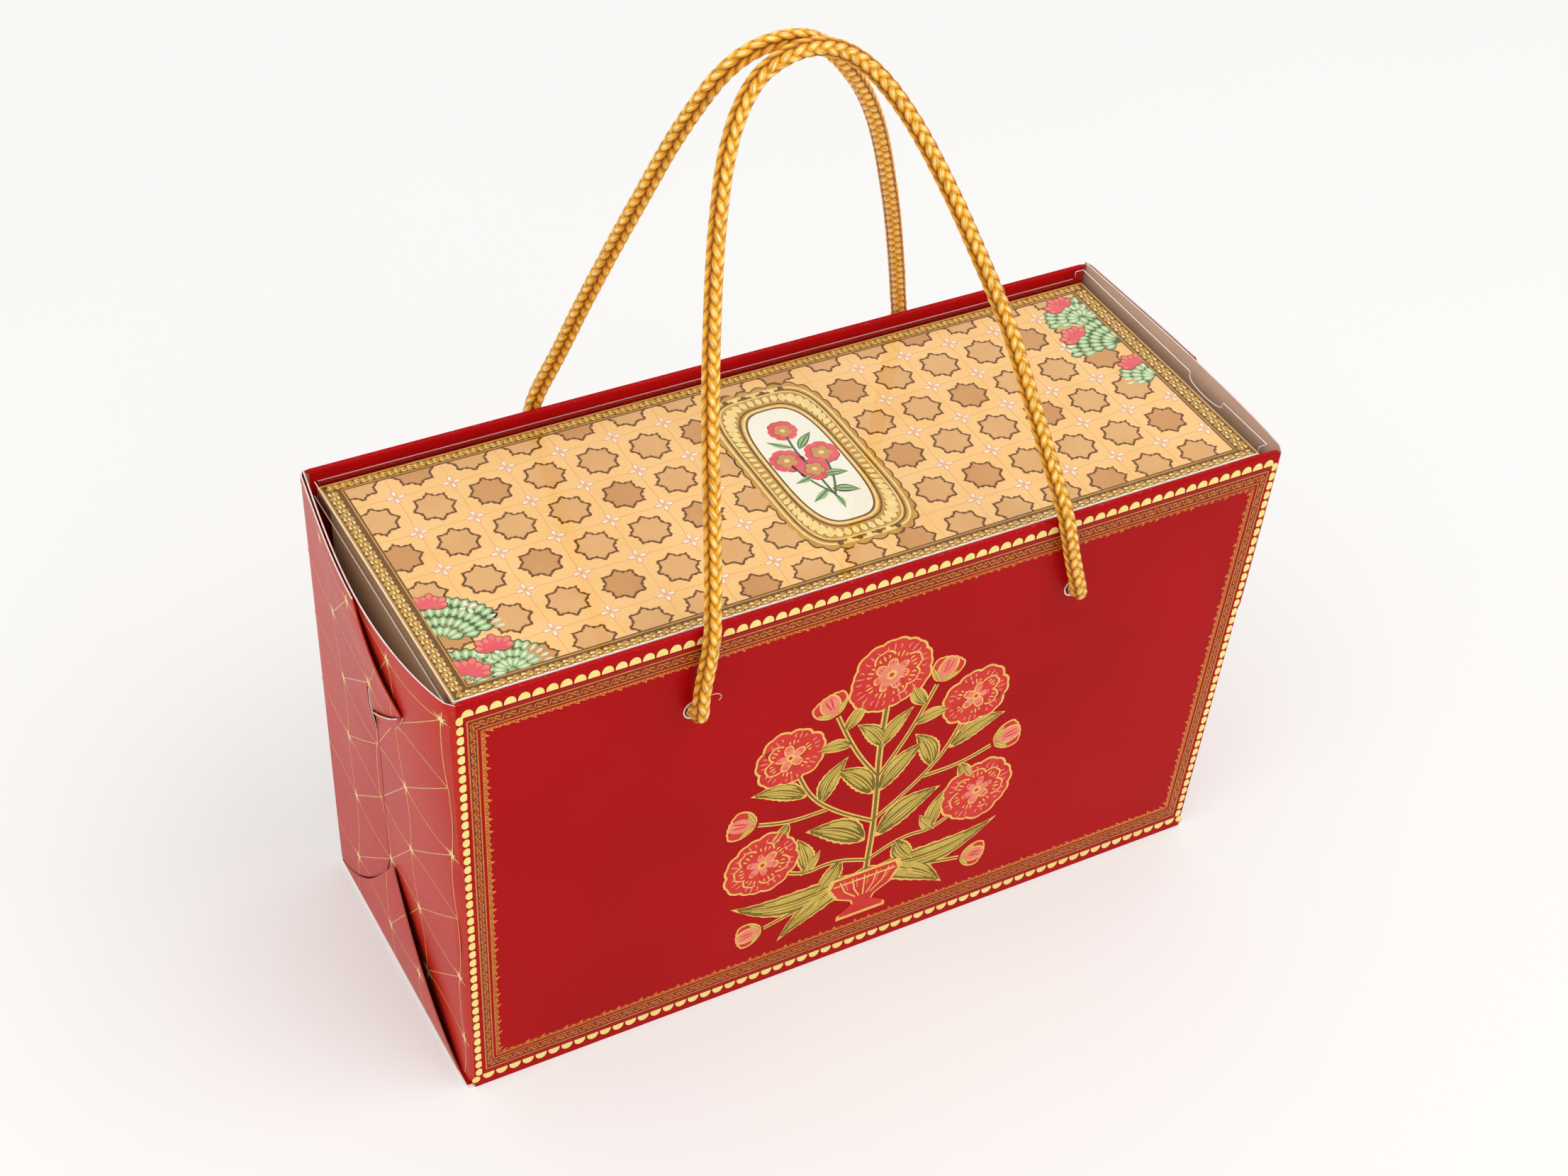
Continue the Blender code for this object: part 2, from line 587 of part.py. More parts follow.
def clear_cover():
    """A clear sheet over the lid, with a skirt round the lid's edge and a rim that stands up at the right."""
    inner_x, inner_y = LID_LENGTH / 2 + GAP, LID_DEPTH / 2 + GAP
    outer = rounded_rectangle(inner_x + COVER_WALL, inner_y + COVER_WALL, COVER_RADIUS)
    inner = rounded_rectangle(inner_x, inner_y, GAP)
    pocket = rounded_rectangle(inner_x, inner_y, COVER_RADIUS - COVER_WALL)
    low_z = COVER_FLOOR - COVER_SKIRT
    sheet_top = COVER_FLOOR + COVER_WALL
    made = plate("clear_cover", [outer], low_z, COVER_TOP)
    under = mark_cutter(plate("cover_under", [inner], low_z - OVERRUN, COVER_FLOOR))
    above = mark_cutter(plate("cover_above", [pocket], sheet_top, COVER_TOP + OVERRUN))
    rim = mark_cutter(block("cover_rim", (-inner_x - OVERRUN, INNER_SHIFT - inner_y - OVERRUN, sheet_top + COVER_RIM),
                            (inner_x - COVER_RADIUS, INNER_SHIFT + inner_y + OVERRUN, COVER_TOP + OVERRUN)))
    notch_frame = Matrix(((0, 0, 1), (1, 0, 0), (0, 1, 0))).to_4x4()
    notch_y = LID_DEPTH / 2 * NOTCH_CENTRE_SHARE
    circle = [(notch_y + NOTCH_WIDTH / 2 * across, COVER_TOP + NOTCH_DEPTH * up)
              for across, up in ring_points((0, 0), 1, 32)]
    notch = mark_cutter(plate("cover_notch", [circle], inner_x - OVERRUN, inner_x + OVERRUN, notch_frame))
    for tool in (under, above, rim, notch):
        boolean(made, "DIFFERENCE", tool)
    return finish_piece(made, CLEAR_FILM)


base_panel()
for panel_side in (FRONT, BACK):
    side_panel(panel_side)
    top_hem(panel_side)
    cord_handle(panel_side)
    inner_side_wall(panel_side)
    for end_side in (LEFT, RIGHT):
        cord_knot(panel_side, end_side)
for end_side in (LEFT, RIGHT):
    front_flap(end_side)
    back_flap(end_side)
    base_flap(end_side)
    inner_end_wall(end_side)
inner_floor()
printed_lid()
lid_frame()
clear_cover()
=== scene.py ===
"""Hamper box in its printed board carrier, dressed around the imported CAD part."""

import json
from math import atan2, ceil, copysign, cos, dist, exp, hypot, pi, radians, sin

import bmesh
import bpy
import numpy as np
from mathutils import Matrix, Vector
from mathutils.geometry import delaunay_2d_cdt
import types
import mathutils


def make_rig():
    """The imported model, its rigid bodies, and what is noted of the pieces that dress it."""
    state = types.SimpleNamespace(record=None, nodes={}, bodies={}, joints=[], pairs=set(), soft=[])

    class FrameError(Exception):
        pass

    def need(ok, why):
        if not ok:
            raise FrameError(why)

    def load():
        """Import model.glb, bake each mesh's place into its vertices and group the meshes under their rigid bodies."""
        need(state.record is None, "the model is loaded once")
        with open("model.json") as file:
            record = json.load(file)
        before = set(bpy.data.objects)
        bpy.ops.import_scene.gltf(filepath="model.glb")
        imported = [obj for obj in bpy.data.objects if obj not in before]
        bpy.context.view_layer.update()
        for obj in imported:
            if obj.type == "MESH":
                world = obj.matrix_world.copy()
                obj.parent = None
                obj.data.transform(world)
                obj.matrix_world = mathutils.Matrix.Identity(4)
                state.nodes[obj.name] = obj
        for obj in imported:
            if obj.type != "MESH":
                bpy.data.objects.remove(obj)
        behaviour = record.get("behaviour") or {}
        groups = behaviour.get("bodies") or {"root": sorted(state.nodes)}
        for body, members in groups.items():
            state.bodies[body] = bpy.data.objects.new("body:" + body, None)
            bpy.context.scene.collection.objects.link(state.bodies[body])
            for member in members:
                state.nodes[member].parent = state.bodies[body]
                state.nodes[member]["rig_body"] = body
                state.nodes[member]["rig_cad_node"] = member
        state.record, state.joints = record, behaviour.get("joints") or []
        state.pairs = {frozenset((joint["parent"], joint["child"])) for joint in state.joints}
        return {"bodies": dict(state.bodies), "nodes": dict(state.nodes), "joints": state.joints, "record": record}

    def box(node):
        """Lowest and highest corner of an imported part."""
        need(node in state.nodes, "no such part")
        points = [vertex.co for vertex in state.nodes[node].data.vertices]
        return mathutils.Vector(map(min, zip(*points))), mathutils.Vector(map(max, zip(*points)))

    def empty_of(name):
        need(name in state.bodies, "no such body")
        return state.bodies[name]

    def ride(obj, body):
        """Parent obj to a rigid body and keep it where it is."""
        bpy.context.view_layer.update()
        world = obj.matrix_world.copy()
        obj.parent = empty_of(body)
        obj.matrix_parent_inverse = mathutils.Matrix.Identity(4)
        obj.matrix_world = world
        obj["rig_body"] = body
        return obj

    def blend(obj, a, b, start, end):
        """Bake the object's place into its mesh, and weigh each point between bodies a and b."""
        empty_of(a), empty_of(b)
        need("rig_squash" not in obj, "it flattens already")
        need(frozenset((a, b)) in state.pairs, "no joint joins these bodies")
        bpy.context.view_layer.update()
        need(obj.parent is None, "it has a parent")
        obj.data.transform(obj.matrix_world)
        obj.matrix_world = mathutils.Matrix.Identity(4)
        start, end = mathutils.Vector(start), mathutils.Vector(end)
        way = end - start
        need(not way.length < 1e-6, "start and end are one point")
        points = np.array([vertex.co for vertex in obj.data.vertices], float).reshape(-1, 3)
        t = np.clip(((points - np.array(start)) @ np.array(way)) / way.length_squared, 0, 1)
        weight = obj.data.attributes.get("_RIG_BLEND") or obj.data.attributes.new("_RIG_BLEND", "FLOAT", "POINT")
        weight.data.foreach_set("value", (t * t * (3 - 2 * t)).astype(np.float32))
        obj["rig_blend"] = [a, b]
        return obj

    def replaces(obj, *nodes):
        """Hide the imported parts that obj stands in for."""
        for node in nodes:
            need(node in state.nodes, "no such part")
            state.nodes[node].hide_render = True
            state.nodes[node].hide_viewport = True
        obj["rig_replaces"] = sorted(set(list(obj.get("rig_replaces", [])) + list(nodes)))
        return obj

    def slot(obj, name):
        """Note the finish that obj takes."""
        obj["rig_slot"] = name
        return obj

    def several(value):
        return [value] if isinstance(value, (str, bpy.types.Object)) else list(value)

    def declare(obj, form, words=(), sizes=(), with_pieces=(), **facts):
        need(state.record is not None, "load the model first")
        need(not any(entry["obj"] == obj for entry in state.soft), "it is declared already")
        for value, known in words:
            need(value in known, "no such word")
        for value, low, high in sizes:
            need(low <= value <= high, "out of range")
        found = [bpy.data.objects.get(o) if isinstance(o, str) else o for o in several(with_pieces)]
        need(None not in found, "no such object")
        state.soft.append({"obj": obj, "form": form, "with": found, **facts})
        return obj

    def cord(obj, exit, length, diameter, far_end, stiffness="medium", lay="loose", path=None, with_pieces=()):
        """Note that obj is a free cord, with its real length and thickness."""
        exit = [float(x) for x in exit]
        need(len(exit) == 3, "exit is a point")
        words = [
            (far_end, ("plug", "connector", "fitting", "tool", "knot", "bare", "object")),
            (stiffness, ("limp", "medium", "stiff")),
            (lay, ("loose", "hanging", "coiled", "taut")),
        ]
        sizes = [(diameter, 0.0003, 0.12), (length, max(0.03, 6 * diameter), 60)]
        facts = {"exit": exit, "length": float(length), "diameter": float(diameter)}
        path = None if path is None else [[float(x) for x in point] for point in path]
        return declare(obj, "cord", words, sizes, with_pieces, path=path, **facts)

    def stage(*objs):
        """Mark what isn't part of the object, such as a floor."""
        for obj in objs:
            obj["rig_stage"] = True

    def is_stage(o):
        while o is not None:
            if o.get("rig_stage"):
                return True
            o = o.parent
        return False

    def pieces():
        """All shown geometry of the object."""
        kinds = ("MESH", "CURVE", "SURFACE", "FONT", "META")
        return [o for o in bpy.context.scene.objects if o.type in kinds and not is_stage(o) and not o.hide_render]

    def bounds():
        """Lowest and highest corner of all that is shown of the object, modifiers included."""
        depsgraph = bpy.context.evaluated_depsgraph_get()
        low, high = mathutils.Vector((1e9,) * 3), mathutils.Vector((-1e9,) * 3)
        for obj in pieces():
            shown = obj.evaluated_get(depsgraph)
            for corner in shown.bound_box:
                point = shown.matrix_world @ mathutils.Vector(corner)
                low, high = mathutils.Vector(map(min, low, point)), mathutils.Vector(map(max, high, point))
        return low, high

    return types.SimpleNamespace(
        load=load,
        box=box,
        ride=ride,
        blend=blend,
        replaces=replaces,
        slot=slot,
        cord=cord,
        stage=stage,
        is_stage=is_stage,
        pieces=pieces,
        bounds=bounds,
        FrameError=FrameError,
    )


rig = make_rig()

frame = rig.load()
CAD_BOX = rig.bounds()

# Sizes of the CAD part, in metres
TOP_LENGTH, BASE_LENGTH = 0.305, 0.295
TOP_DEPTH, BASE_DEPTH = 0.123, 0.118
HEIGHT = 0.183
BOARD, LAYER = 0.0009, 0.0012
HEM_DEPTH = 0.045
BOWS = {-1: 0.0078, 1: 0.0022}
BOW_SKEW, BOW_POWER = 0.75, 1.6
HOLE_SPACING, HOLE_SHIFT, HOLE_DROP, HOLE_RADIUS = 0.1432, 0.0009, 0.0335, 0.0033
CORD_DIAMETER = 0.006
FREE_EDGE = ((-0.075, 1.0), (-0.565, 0.862))
HOOK = ((-0.565, 0.856), (-0.40, 0.812), (-0.214, 0.769), (-0.135, 0.753), (-0.094, 0.748), (-0.088, 0.775))
THROAT = ((-0.075, 0.775), (-0.078, 0.745), (-0.092, 0.700), (-0.027, 0.543), (0.046, 0.406), (0.056, 0.30))
FREE_EDGE_LIFT = 0.0015
FLAP_HEIGHT, FLAP_PEAK, FLAP_BEND, FLAP_BEND_HEIGHT = 0.057, -0.035, 0.568, 0.0065
FLAP_FRONT, FLAP_LIFT, FLAP_GAP = -0.86, 0.0026, 0.0008
LID_TOP, LID_HALF, LID_FRONT, LID_BACK = 0.177, 0.149, -0.0553, 0.0577
PANEL_HEIGHT = hypot(HEIGHT, (TOP_DEPTH - BASE_DEPTH) / 2)
HOLE_Z = HEIGHT - HOLE_DROP * HEIGHT / PANEL_HEIGHT

# The visual's own sizes, in metres: folds and corners, thin outer sheets, and the tongue pressed flat
LEAN = atan2((TOP_DEPTH - BASE_DEPTH) / 2, HEIGHT)
FOLD = (LAYER + BOARD) / 2
CORNER = 0.0012
CORNER_ARC = CORNER * pi / 2
HEM_ROOM = LAYER + 0.0003
SHEET = 0.0005
PRESS, PRESS_WIDE, PRESS_REACH, TONGUE_TOP, THINNED = 0.00108, 0.030, 0.012, 0.745, 0.78
BLEND_RISE = 0.022
PLAIT_LEAN = radians(29)

MM = 0.001
LEFT, RIGHT, FRONT, BACK = -1, 1, -1, 1
SIDE_NAMES = {FRONT: "front", BACK: "back"}
END_NAMES = {LEFT: "left", RIGHT: "right"}

low_corner, high_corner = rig.box("carrier_front_panel")
MIDDLE_X = (low_corner.x + high_corner.x) / 2


def clamp(value):
    return min(max(value, 0), 1)


def half_length(z):
    return (BASE_LENGTH + (TOP_LENGTH - BASE_LENGTH) * z / HEIGHT) / 2


def half_depth(z):
    return (BASE_DEPTH + (TOP_DEPTH - BASE_DEPTH) * z / HEIGHT) / 2


def end_face(side, y, z):
    """How far out an end wall's inner layer lies: the CAD's own bow."""
    across = clamp((y / half_depth(z) + 1) / 2)
    return half_length(z) + BOWS[side] * sin(pi * across ** BOW_SKEW) * clamp(z / HEIGHT) ** BOW_POWER


def flap_lift(y, z):
    """How far a base flap bulges off the wall along its straight free edge."""
    front, back = BASE_DEPTH / 2 * FLAP_FRONT, BASE_DEPTH / 2 - LAYER
    up = min(z / FLAP_HEIGHT, 1)
    return FLAP_LIFT * 4 * up * (1 - up) * (back - y) / (back - front)


def polar(centre, reach, angle, squash=1.0):
    return (centre[0] + reach * cos(angle), centre[1] + reach * squash * sin(angle))


def turned(centre, angle, along, across):
    """The point along and across from a centre, in axes turned by an angle."""
    return (centre[0] + along * cos(angle) - across * sin(angle),
            centre[1] + along * sin(angle) + across * cos(angle))


def circle(centre, radius, count=32):
    return [polar(centre, radius, 2 * pi * i / count) for i in range(count)]


def sides(loop):
    return zip(loop, loop[1:] + loop[:1])


def added(name, data):
    """A new object in the scene."""
    made = bpy.data.objects.new(name, data)
    bpy.context.scene.collection.objects.link(made)
    return made


# Materials
WHITE = (1.0, 1.0, 1.0, 1.0)


def hexa(code):
    """A colour written as on screen, in the linear values that shaders take."""
    parts = [int(code[i:i + 2], 16) / 255 for i in (1, 3, 5)]
    return (*(c / 12.92 if c <= 0.04045 else ((c + 0.055) / 1.055) ** 2.4 for c in parts), 1.0)


def material(name, roughness, shine=0.5, **inputs):
    made = bpy.data.materials.new(name)
    made.use_nodes = True
    shader = made.node_tree.nodes["Principled BSDF"]
    for key, value in {"Roughness": roughness, "Specular_IOR_Level": shine, **inputs}.items():
        shader.inputs[key.replace("_", " ")].default_value = value
    return made


def node(made, kind, **settings):
    """A new node, with its sockets set or linked by name, or by number as i0, i1 and so on."""
    new = made.node_tree.nodes.new(kind)
    for key, value in settings.items():
        if hasattr(new, key):
            setattr(new, key, value)
            continue
        numbered = key[0] == "i" and key[1:].isdigit()
        socket = new.inputs[int(key[1:]) if numbered else key.replace("_", " ")]
        if isinstance(value, bpy.types.NodeSocket):
            made.node_tree.links.new(value, socket)
        else:
            socket.default_value = value
    return new


def noise(made, vector, scale, detail=2.0, rough=0.5):
    made = node(made, "ShaderNodeTexNoise", Vector=vector, Scale=scale, Detail=detail, Roughness=rough)
    return made.outputs["Fac"]


def remap(made, value, low, high, to_low=0.0, to_high=1.0):
    return node(made, "ShaderNodeMapRange", Value=value, From_Min=low, From_Max=high,
                To_Min=to_low, To_Max=to_high).outputs["Result"]


def mixed(made, factor, first, second):
    return node(made, "ShaderNodeMix", data_type="RGBA", i0=factor, i6=first, i7=second).outputs[2]


def maths(made, operation, first, second=0.0):
    return node(made, "ShaderNodeMath", operation=operation, i0=first, i1=second).outputs[0]


def attribute(made, name, output="Fac"):
    return node(made, "ShaderNodeAttribute", attribute_name=name).outputs[output]


def place_of(made):
    return node(made, "ShaderNodeTexCoord").outputs["Object"]


def height_of(made, vector):
    return node(made, "ShaderNodeSeparateXYZ", Vector=vector).outputs["Z"]


def set_input(made, key, value):
    made.node_tree.links.new(value, made.node_tree.nodes["Principled BSDF"].inputs[key])


def set_surface(made, shader, output="Material Output"):
    made.node_tree.links.new(shader, made.node_tree.nodes[output].inputs["Surface"])


def bumped(made, height, distance):
    bump = node(made, "ShaderNodeBump", Height=height, Distance=distance)
    set_input(made, "Normal", bump.outputs["Normal"])


def printed(name, low, high, roughness, patch, grain, shine=0.5, rise=0.00001):
    """An ink or board: two close colours in soft patches, with a fine paper grain."""
    made = material(name, roughness, shine)
    where = place_of(made)
    cloud, fine = noise(made, where, patch, 3.0), noise(made, where, grain)
    blend = maths(made, "ADD", maths(made, "MULTIPLY", cloud, 0.7), maths(made, "MULTIPLY", fine, 0.3))
    set_input(made, "Base Color", mixed(made, remap(made, blend, 0.25, 0.75), hexa(low), hexa(high)))
    set_input(made, "Roughness", remap(made, fine, 0.3, 0.7, roughness - 0.05, roughness + 0.06))
    bumped(made, fine, rise)
    return made


def painted_low_shade(made, deep, low, high):
    """Paints shade into a board: its colour darkens towards a deep brown from one height down to another."""
    plain = made.node_tree.nodes["Principled BSDF"].inputs["Base Color"].links[0].from_socket
    share = remap(made, height_of(made, place_of(made)), low, high)
    set_input(made, "Base Color", mixed(made, share, hexa(deep), plain))


def red_finish(name, low, high, shine, tint=WHITE):
    """Satin laminated red board, with soft waves, fine grain and pale cracks along its folds."""
    made = material(name, 0.34, shine, Specular_Tint=tint)
    where = place_of(made)
    fine = noise(made, where, 1400.0)
    base = mixed(made, remap(made, noise(made, where, 14.0), 0.35, 0.65), hexa(low), hexa(high))
    crack = remap(made, noise(made, where, 900.0, 4.0, 0.7), 0.56, 0.70)
    crack = maths(made, "MULTIPLY", attribute(made, "wear"), crack)
    set_input(made, "Base Color", mixed(made, crack, base, hexa("#E2A7A0")))
    set_input(made, "Roughness", remap(made, fine, 0.3, 0.7, 0.30, 0.40))
    waves = maths(made, "MULTIPLY", noise(made, where, 22.0, 1.0), 12.0)
    bumped(made, maths(made, "ADD", waves, fine), 0.000012)
    return made


def base_finish():
    """The base board: print below, and pale cut edges."""
    made = material("base_board", 0.5, 0.15)
    up = height_of(made, node(made, "ShaderNodeNewGeometry").outputs["True Normal"])
    flat = remap(made, maths(made, "ABSOLUTE", up), 0.4, 0.6)
    grain = noise(made, place_of(made), 500.0)
    pale = mixed(made, grain, hexa("#F3E8E2"), hexa("#DCC4BC"))
    set_input(made, "Base Color", mixed(made, flat, pale, hexa("#A80A0E")))
    bumped(made, grain, 0.00002)
    return made


def cord_finish():
    """Braided satin yarn, with painted shade in the gaps between plaits, a painted highlight on their crowns, and
    fibres along each plait.
    """
    made = material("cord_yarn", 0.30, Sheen_Weight=0.05, Sheen_Roughness=0.4,
                    Specular_Tint=(1.0, 0.86, 0.55, 1.0))
    relief = attribute(made, "relief")
    fibre = noise(made, attribute(made, "lay", "Vector"), 1.0, 3.0, 0.6)
    # Painted shade: the yarn darkens to deep brown down in the gaps between plaits
    low = mixed(made, remap(made, relief, 0.18, 0.60), hexa("#4A1E00"), hexa("#C47206"))
    high = mixed(made, remap(made, relief, 0.54, 0.82), low, hexa("#F8B020"))
    # Painted highlight: pale cream on the top of each plait's crown
    crown = mixed(made, remap(made, relief, 0.87, 0.98, 0.0, 0.8), high, hexa("#FFEEA4"))
    thin = remap(made, fibre, 0.34, 0.50, 0.75, 0.0)
    set_input(made, "Base Color", mixed(made, thin, crown, hexa("#8E4C06")))
    set_input(made, "Roughness", remap(made, fibre, 0.3, 0.7, 0.18, 0.34))
    bumped(made, fibre, 0.00010)
    return made


def film_finish():
    """Clear film: what is behind it shows, under a mirror sheen that grows towards grazing."""
    made = bpy.data.materials.new("clear_film_finish")
    made.use_nodes = True
    made.node_tree.nodes.remove(made.node_tree.nodes["Principled BSDF"])
    waves = noise(made, place_of(made), 30.0, 1.0)
    bump = node(made, "ShaderNodeBump", Height=waves, Distance=0.0002).outputs[0]
    clear = node(made, "ShaderNodeBsdfTransparent", Color=(0.985, 0.985, 0.98, 1.0)).outputs[0]
    gloss = node(made, "ShaderNodeBsdfGlossy", Color=WHITE, Roughness=0.03, Normal=bump).outputs[0]
    facing = node(made, "ShaderNodeLayerWeight", Blend=0.5).outputs["Facing"]
    weight = maths(made, "ADD", maths(made, "MULTIPLY", maths(made, "POWER", facing, 5.0), 0.85), 0.018)
    set_surface(made, node(made, "ShaderNodeMixShader", i0=weight, i1=clear, i2=gloss).outputs[0])
    return made


RED = red_finish("red_print", "#A80509", "#B1070C", 0.06)
# Painted light: the end walls take the panels' red board painted lighter and oranger for the light that falls on them,
# with more shine and a warm-tinted specular
END_RED_LIT = red_finish("red_end_print", "#BA221A", "#C42C1E", 0.125, (1.0, 0.78, 0.38, 1.0))
RAW = printed("raw_board", "#D1AF99", "#E1C2AC", 0.6, 40, 700, rise=0.00003)
# Painted shade: the raw board turns deep brown below 14.8 cm and keeps its own colour only near the rim
painted_low_shade(RAW, "#7E5E44", 0.148, 0.181)
SEAM = printed("seam_edge", "#B4564A", "#C46A5C", 0.6, 260, 1500)
CUT = printed("cut_edge", "#F1E3DC", "#D9B7AE", 0.7, 260, 1500, rise=0.00003)
BEIGE = printed("beige_board_finish", "#F0CFA6", "#FBE0BE", 0.62, 30, 600, rise=0.00003)
BASE = base_finish()
CORD = cord_finish()
FILM = film_finish()
# Painted highlight: the film's rims are near-white for the light they catch; the dim back rim is painted mauve for the
# red behind it under a faint sheen
FILM_EDGE_HIGHLIGHT = printed("film_edge", "#FFFFFF", "#F2F0EC", 0.16, 300, 1200)
FILM_DIM_SHEEN = printed("film_dim_edge", "#A87E86", "#C8A6AA", 0.16, 60, 1200)

CREAM = printed("cream_ink", "#F3DA6A", "#F9EE9C", 0.30, 160, 1200, 0.3)
BAND = printed("band_ink", "#7E1C0C", "#963010", 0.34, 260, 1200, 0.12)
GOLD = printed("gold_ink", "#BC6820", "#DC9038", 0.30, 420, 1600, 0.2)
DARK_LINE = printed("dark_red_ink", "#6E0A10", "#7E1014", 0.36, 200, 1200)
NET = printed("net_ink", "#C07C30", "#EAB05A", 0.30, 200, 1200, 0.3)
SPARK = printed("spark_ink", "#F0C868", "#FBE6A4", 0.26, 300, 1200)
# Painted shade: a near-black ink for the shadow down in a slit
SLIT_SHADE = printed("slit_shade", "#2E0604", "#3E0A08", 0.70, 300, 1200, 0.1)
PETAL = printed("petal_ink", "#C4201C", "#DC4236", 0.34, 140, 1400, 0.12)
PETAL_LIGHT = printed("petal_light_ink", "#E8705C", "#F2977F", 0.34, 200, 1400, 0.12)
OUTLINE = printed("outline_ink", "#E2A640", "#F6D278", 0.28, 500, 1400, 0.2)
LEAF = printed("leaf_ink", "#6A5414", "#8C7426", 0.34, 150, 1400, 0.12)
LEAF_LIGHT = printed("leaf_light_ink", "#B89C3A", "#D8C060", 0.32, 200, 1400, 0.12)
GROUND = printed("card_ground", "#F6C070", "#FDD090", 0.34, 34, 900, 0.2, 0.000015)
STAR_LINE = printed("star_line_ink", "#5E3402", "#85520C", 0.40, 300, 1400, 0.2)
STAR_FILL = printed("star_fill_ink", "#DCA566", "#E8B679", 0.40, 60, 900, 0.2)
STAR_DARK = printed("star_dark_ink", "#C98E50", "#D89F62", 0.40, 60, 900, 0.2)
FAINT = printed("faint_line_ink", "#E6AC62", "#EEB973", 0.40, 200, 1400)
WHITE_INK = printed("white_ink", "#FBF3EA", "#F3E2D2", 0.40, 200, 1400)
PINK_LINE = printed("pink_line_ink", "#DDA07E", "#E8B494", 0.40, 200, 1400)
OLD_GOLD = printed("old_gold_ink", "#B8842A", "#DEA844", 0.34, 240, 1200, 0.3)
OLD_GOLD_LIGHT = printed("old_gold_light_ink", "#EEC66A", "#FFE8A4", 0.32, 300, 1400, 0.3)
OLD_GOLD_DARK = printed("old_gold_dark_ink", "#643C08", "#805212", 0.40, 240, 1200, 0.2)
IVORY = printed("ivory_ink", "#F7F0DC", "#FBF7EA", 0.36, 60, 900)
GREEN = printed("green_ink", "#8DB070", "#B2CE94", 0.36, 150, 1400, 0.2)
GREEN_DARK = printed("green_dark_ink", "#3C5A34", "#52703E", 0.36, 200, 1400, 0.2)
GREEN_LIGHT = printed("green_light_ink", "#D2E2B6", "#E2EDCC", 0.36, 200, 1400, 0.2)
PINK = printed("pink_ink", "#DE3F4C", "#F0717A", 0.36, 150, 1400, 0.2)


# Mesh helpers

def piece(name, verts, faces, materials, slots=None, angle=35.0):
    """A new mesh object with smooth faces that keep the edges sharper than angle."""
    mesh = bpy.data.meshes.new(name)
    mesh.from_pydata([tuple(v) for v in verts], [], faces)
    for each in materials:
        mesh.materials.append(each)
    if slots is not None:
        mesh.polygons.foreach_set("material_index", slots)
    shape = bmesh.new()
    shape.from_mesh(mesh)
    bmesh.ops.recalc_face_normals(shape, faces=shape.faces)
    shape.to_mesh(mesh)
    shape.free()
    mesh.shade_smooth()
    mesh.set_sharp_from_angle(angle=radians(angle))
    mesh.update()
    return added(name, mesh)


def dense(loop, step):
    """The loop's points with more between them, so that no two are further apart than step."""
    points = []
    for (ax, ay), (bx, by) in sides(loop):
        count = max(1, ceil(hypot(bx - ax, by - ay) / step - 1e-6))
        points += [(ax + (bx - ax) * i / count, ay + (by - ay) * i / count) for i in range(count)]
    return points


def inside(loop, points):
    """Which points lie inside a loop."""
    xs, ys = points[:, 0], points[:, 1]
    found = np.zeros(len(points), bool)
    for (ax, ay), (bx, by) in sides(loop):
        if ay != by:
            found ^= ((ay > ys) != (by > ys)) & (xs < (bx - ax) * (ys - ay) / (by - ay) + ax)
    return found


def within(loops, points):
    """Which points lie inside the first loop and outside the others."""
    found = inside(loops[0], points)
    for hole in loops[1:]:
        found &= ~inside(hole, points)
    return found


def filled(loops, step, rows=()):
    """Points and triangles that fill the first loop less the others, with points inside it every step."""
    loops = [dense(loop, step) for loop in loops]
    rim = np.array([p for loop in loops for p in loop])
    low, high = rim.min(0), rim.max(0)
    ups = sorted(set(np.arange(low[1] + step, high[1], step)) | set(rows))
    grid = np.array([(x, y) for y in ups for x in np.arange(low[0] + step / 2, high[0], step)])
    grid = grid[within(loops, grid)]
    near = np.array([np.abs(rim - p).max(1).min() for p in grid])
    grid = grid[near > step * (0.12 if rows else 0.3)]
    edges, first = [], 0
    for loop in loops:
        edges += [(first + i, first + (i + 1) % len(loop)) for i in range(len(loop))]
        first += len(loop)
    flat, _, triangles, *_ = delaunay_2d_cdt([Vector(p) for p in [*rim, *grid]], edges, [], 1, 1e-9)
    flat = np.array([tuple(p) for p in flat])
    kept = within(loops, flat[np.array(triangles)].mean(1))
    return flat, [tuple(t) for t, keep in zip(triangles, kept) if keep]


PRINTED_SLOT, RAW_SLOT, CUT_SLOT, SEAM_SLOT = 0, 1, 2, 3


def board(name, loops, place, body, step, rows=(), wear=None, face=RED, thick=BOARD, edge=None):
    """A sheet of board: its printed face where place says, its raw face a board's thickness behind."""
    flat, triangles = filled(loops, step, rows)
    count = len(flat)
    verts = [place(a, b, 0) for a, b in flat] + [place(a, b, -thick) for a, b in flat]
    faces = triangles + [tuple(i + count for i in reversed(t)) for t in triangles]
    slots = [PRINTED_SLOT] * len(triangles) + [RAW_SLOT] * len(triangles)
    used = {pair: None for t in triangles for pair in sides(t)}
    for a, b in used:
        if (b, a) not in used:
            faces.append((b, a, a + count, b + count))
            slots.append(edge(*(flat[a] + flat[b]) / 2) if edge else CUT_SLOT)
    made = piece(name, verts, faces, [face, RAW, CUT, SEAM], slots)
    if wear:
        layer = made.data.attributes.new("wear", "FLOAT", "POINT")
        layer.data.foreach_set("value", [wear(a, b) for a, b in flat] * 2)
    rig.slot(made, "red_board")
    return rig.ride(made, body)


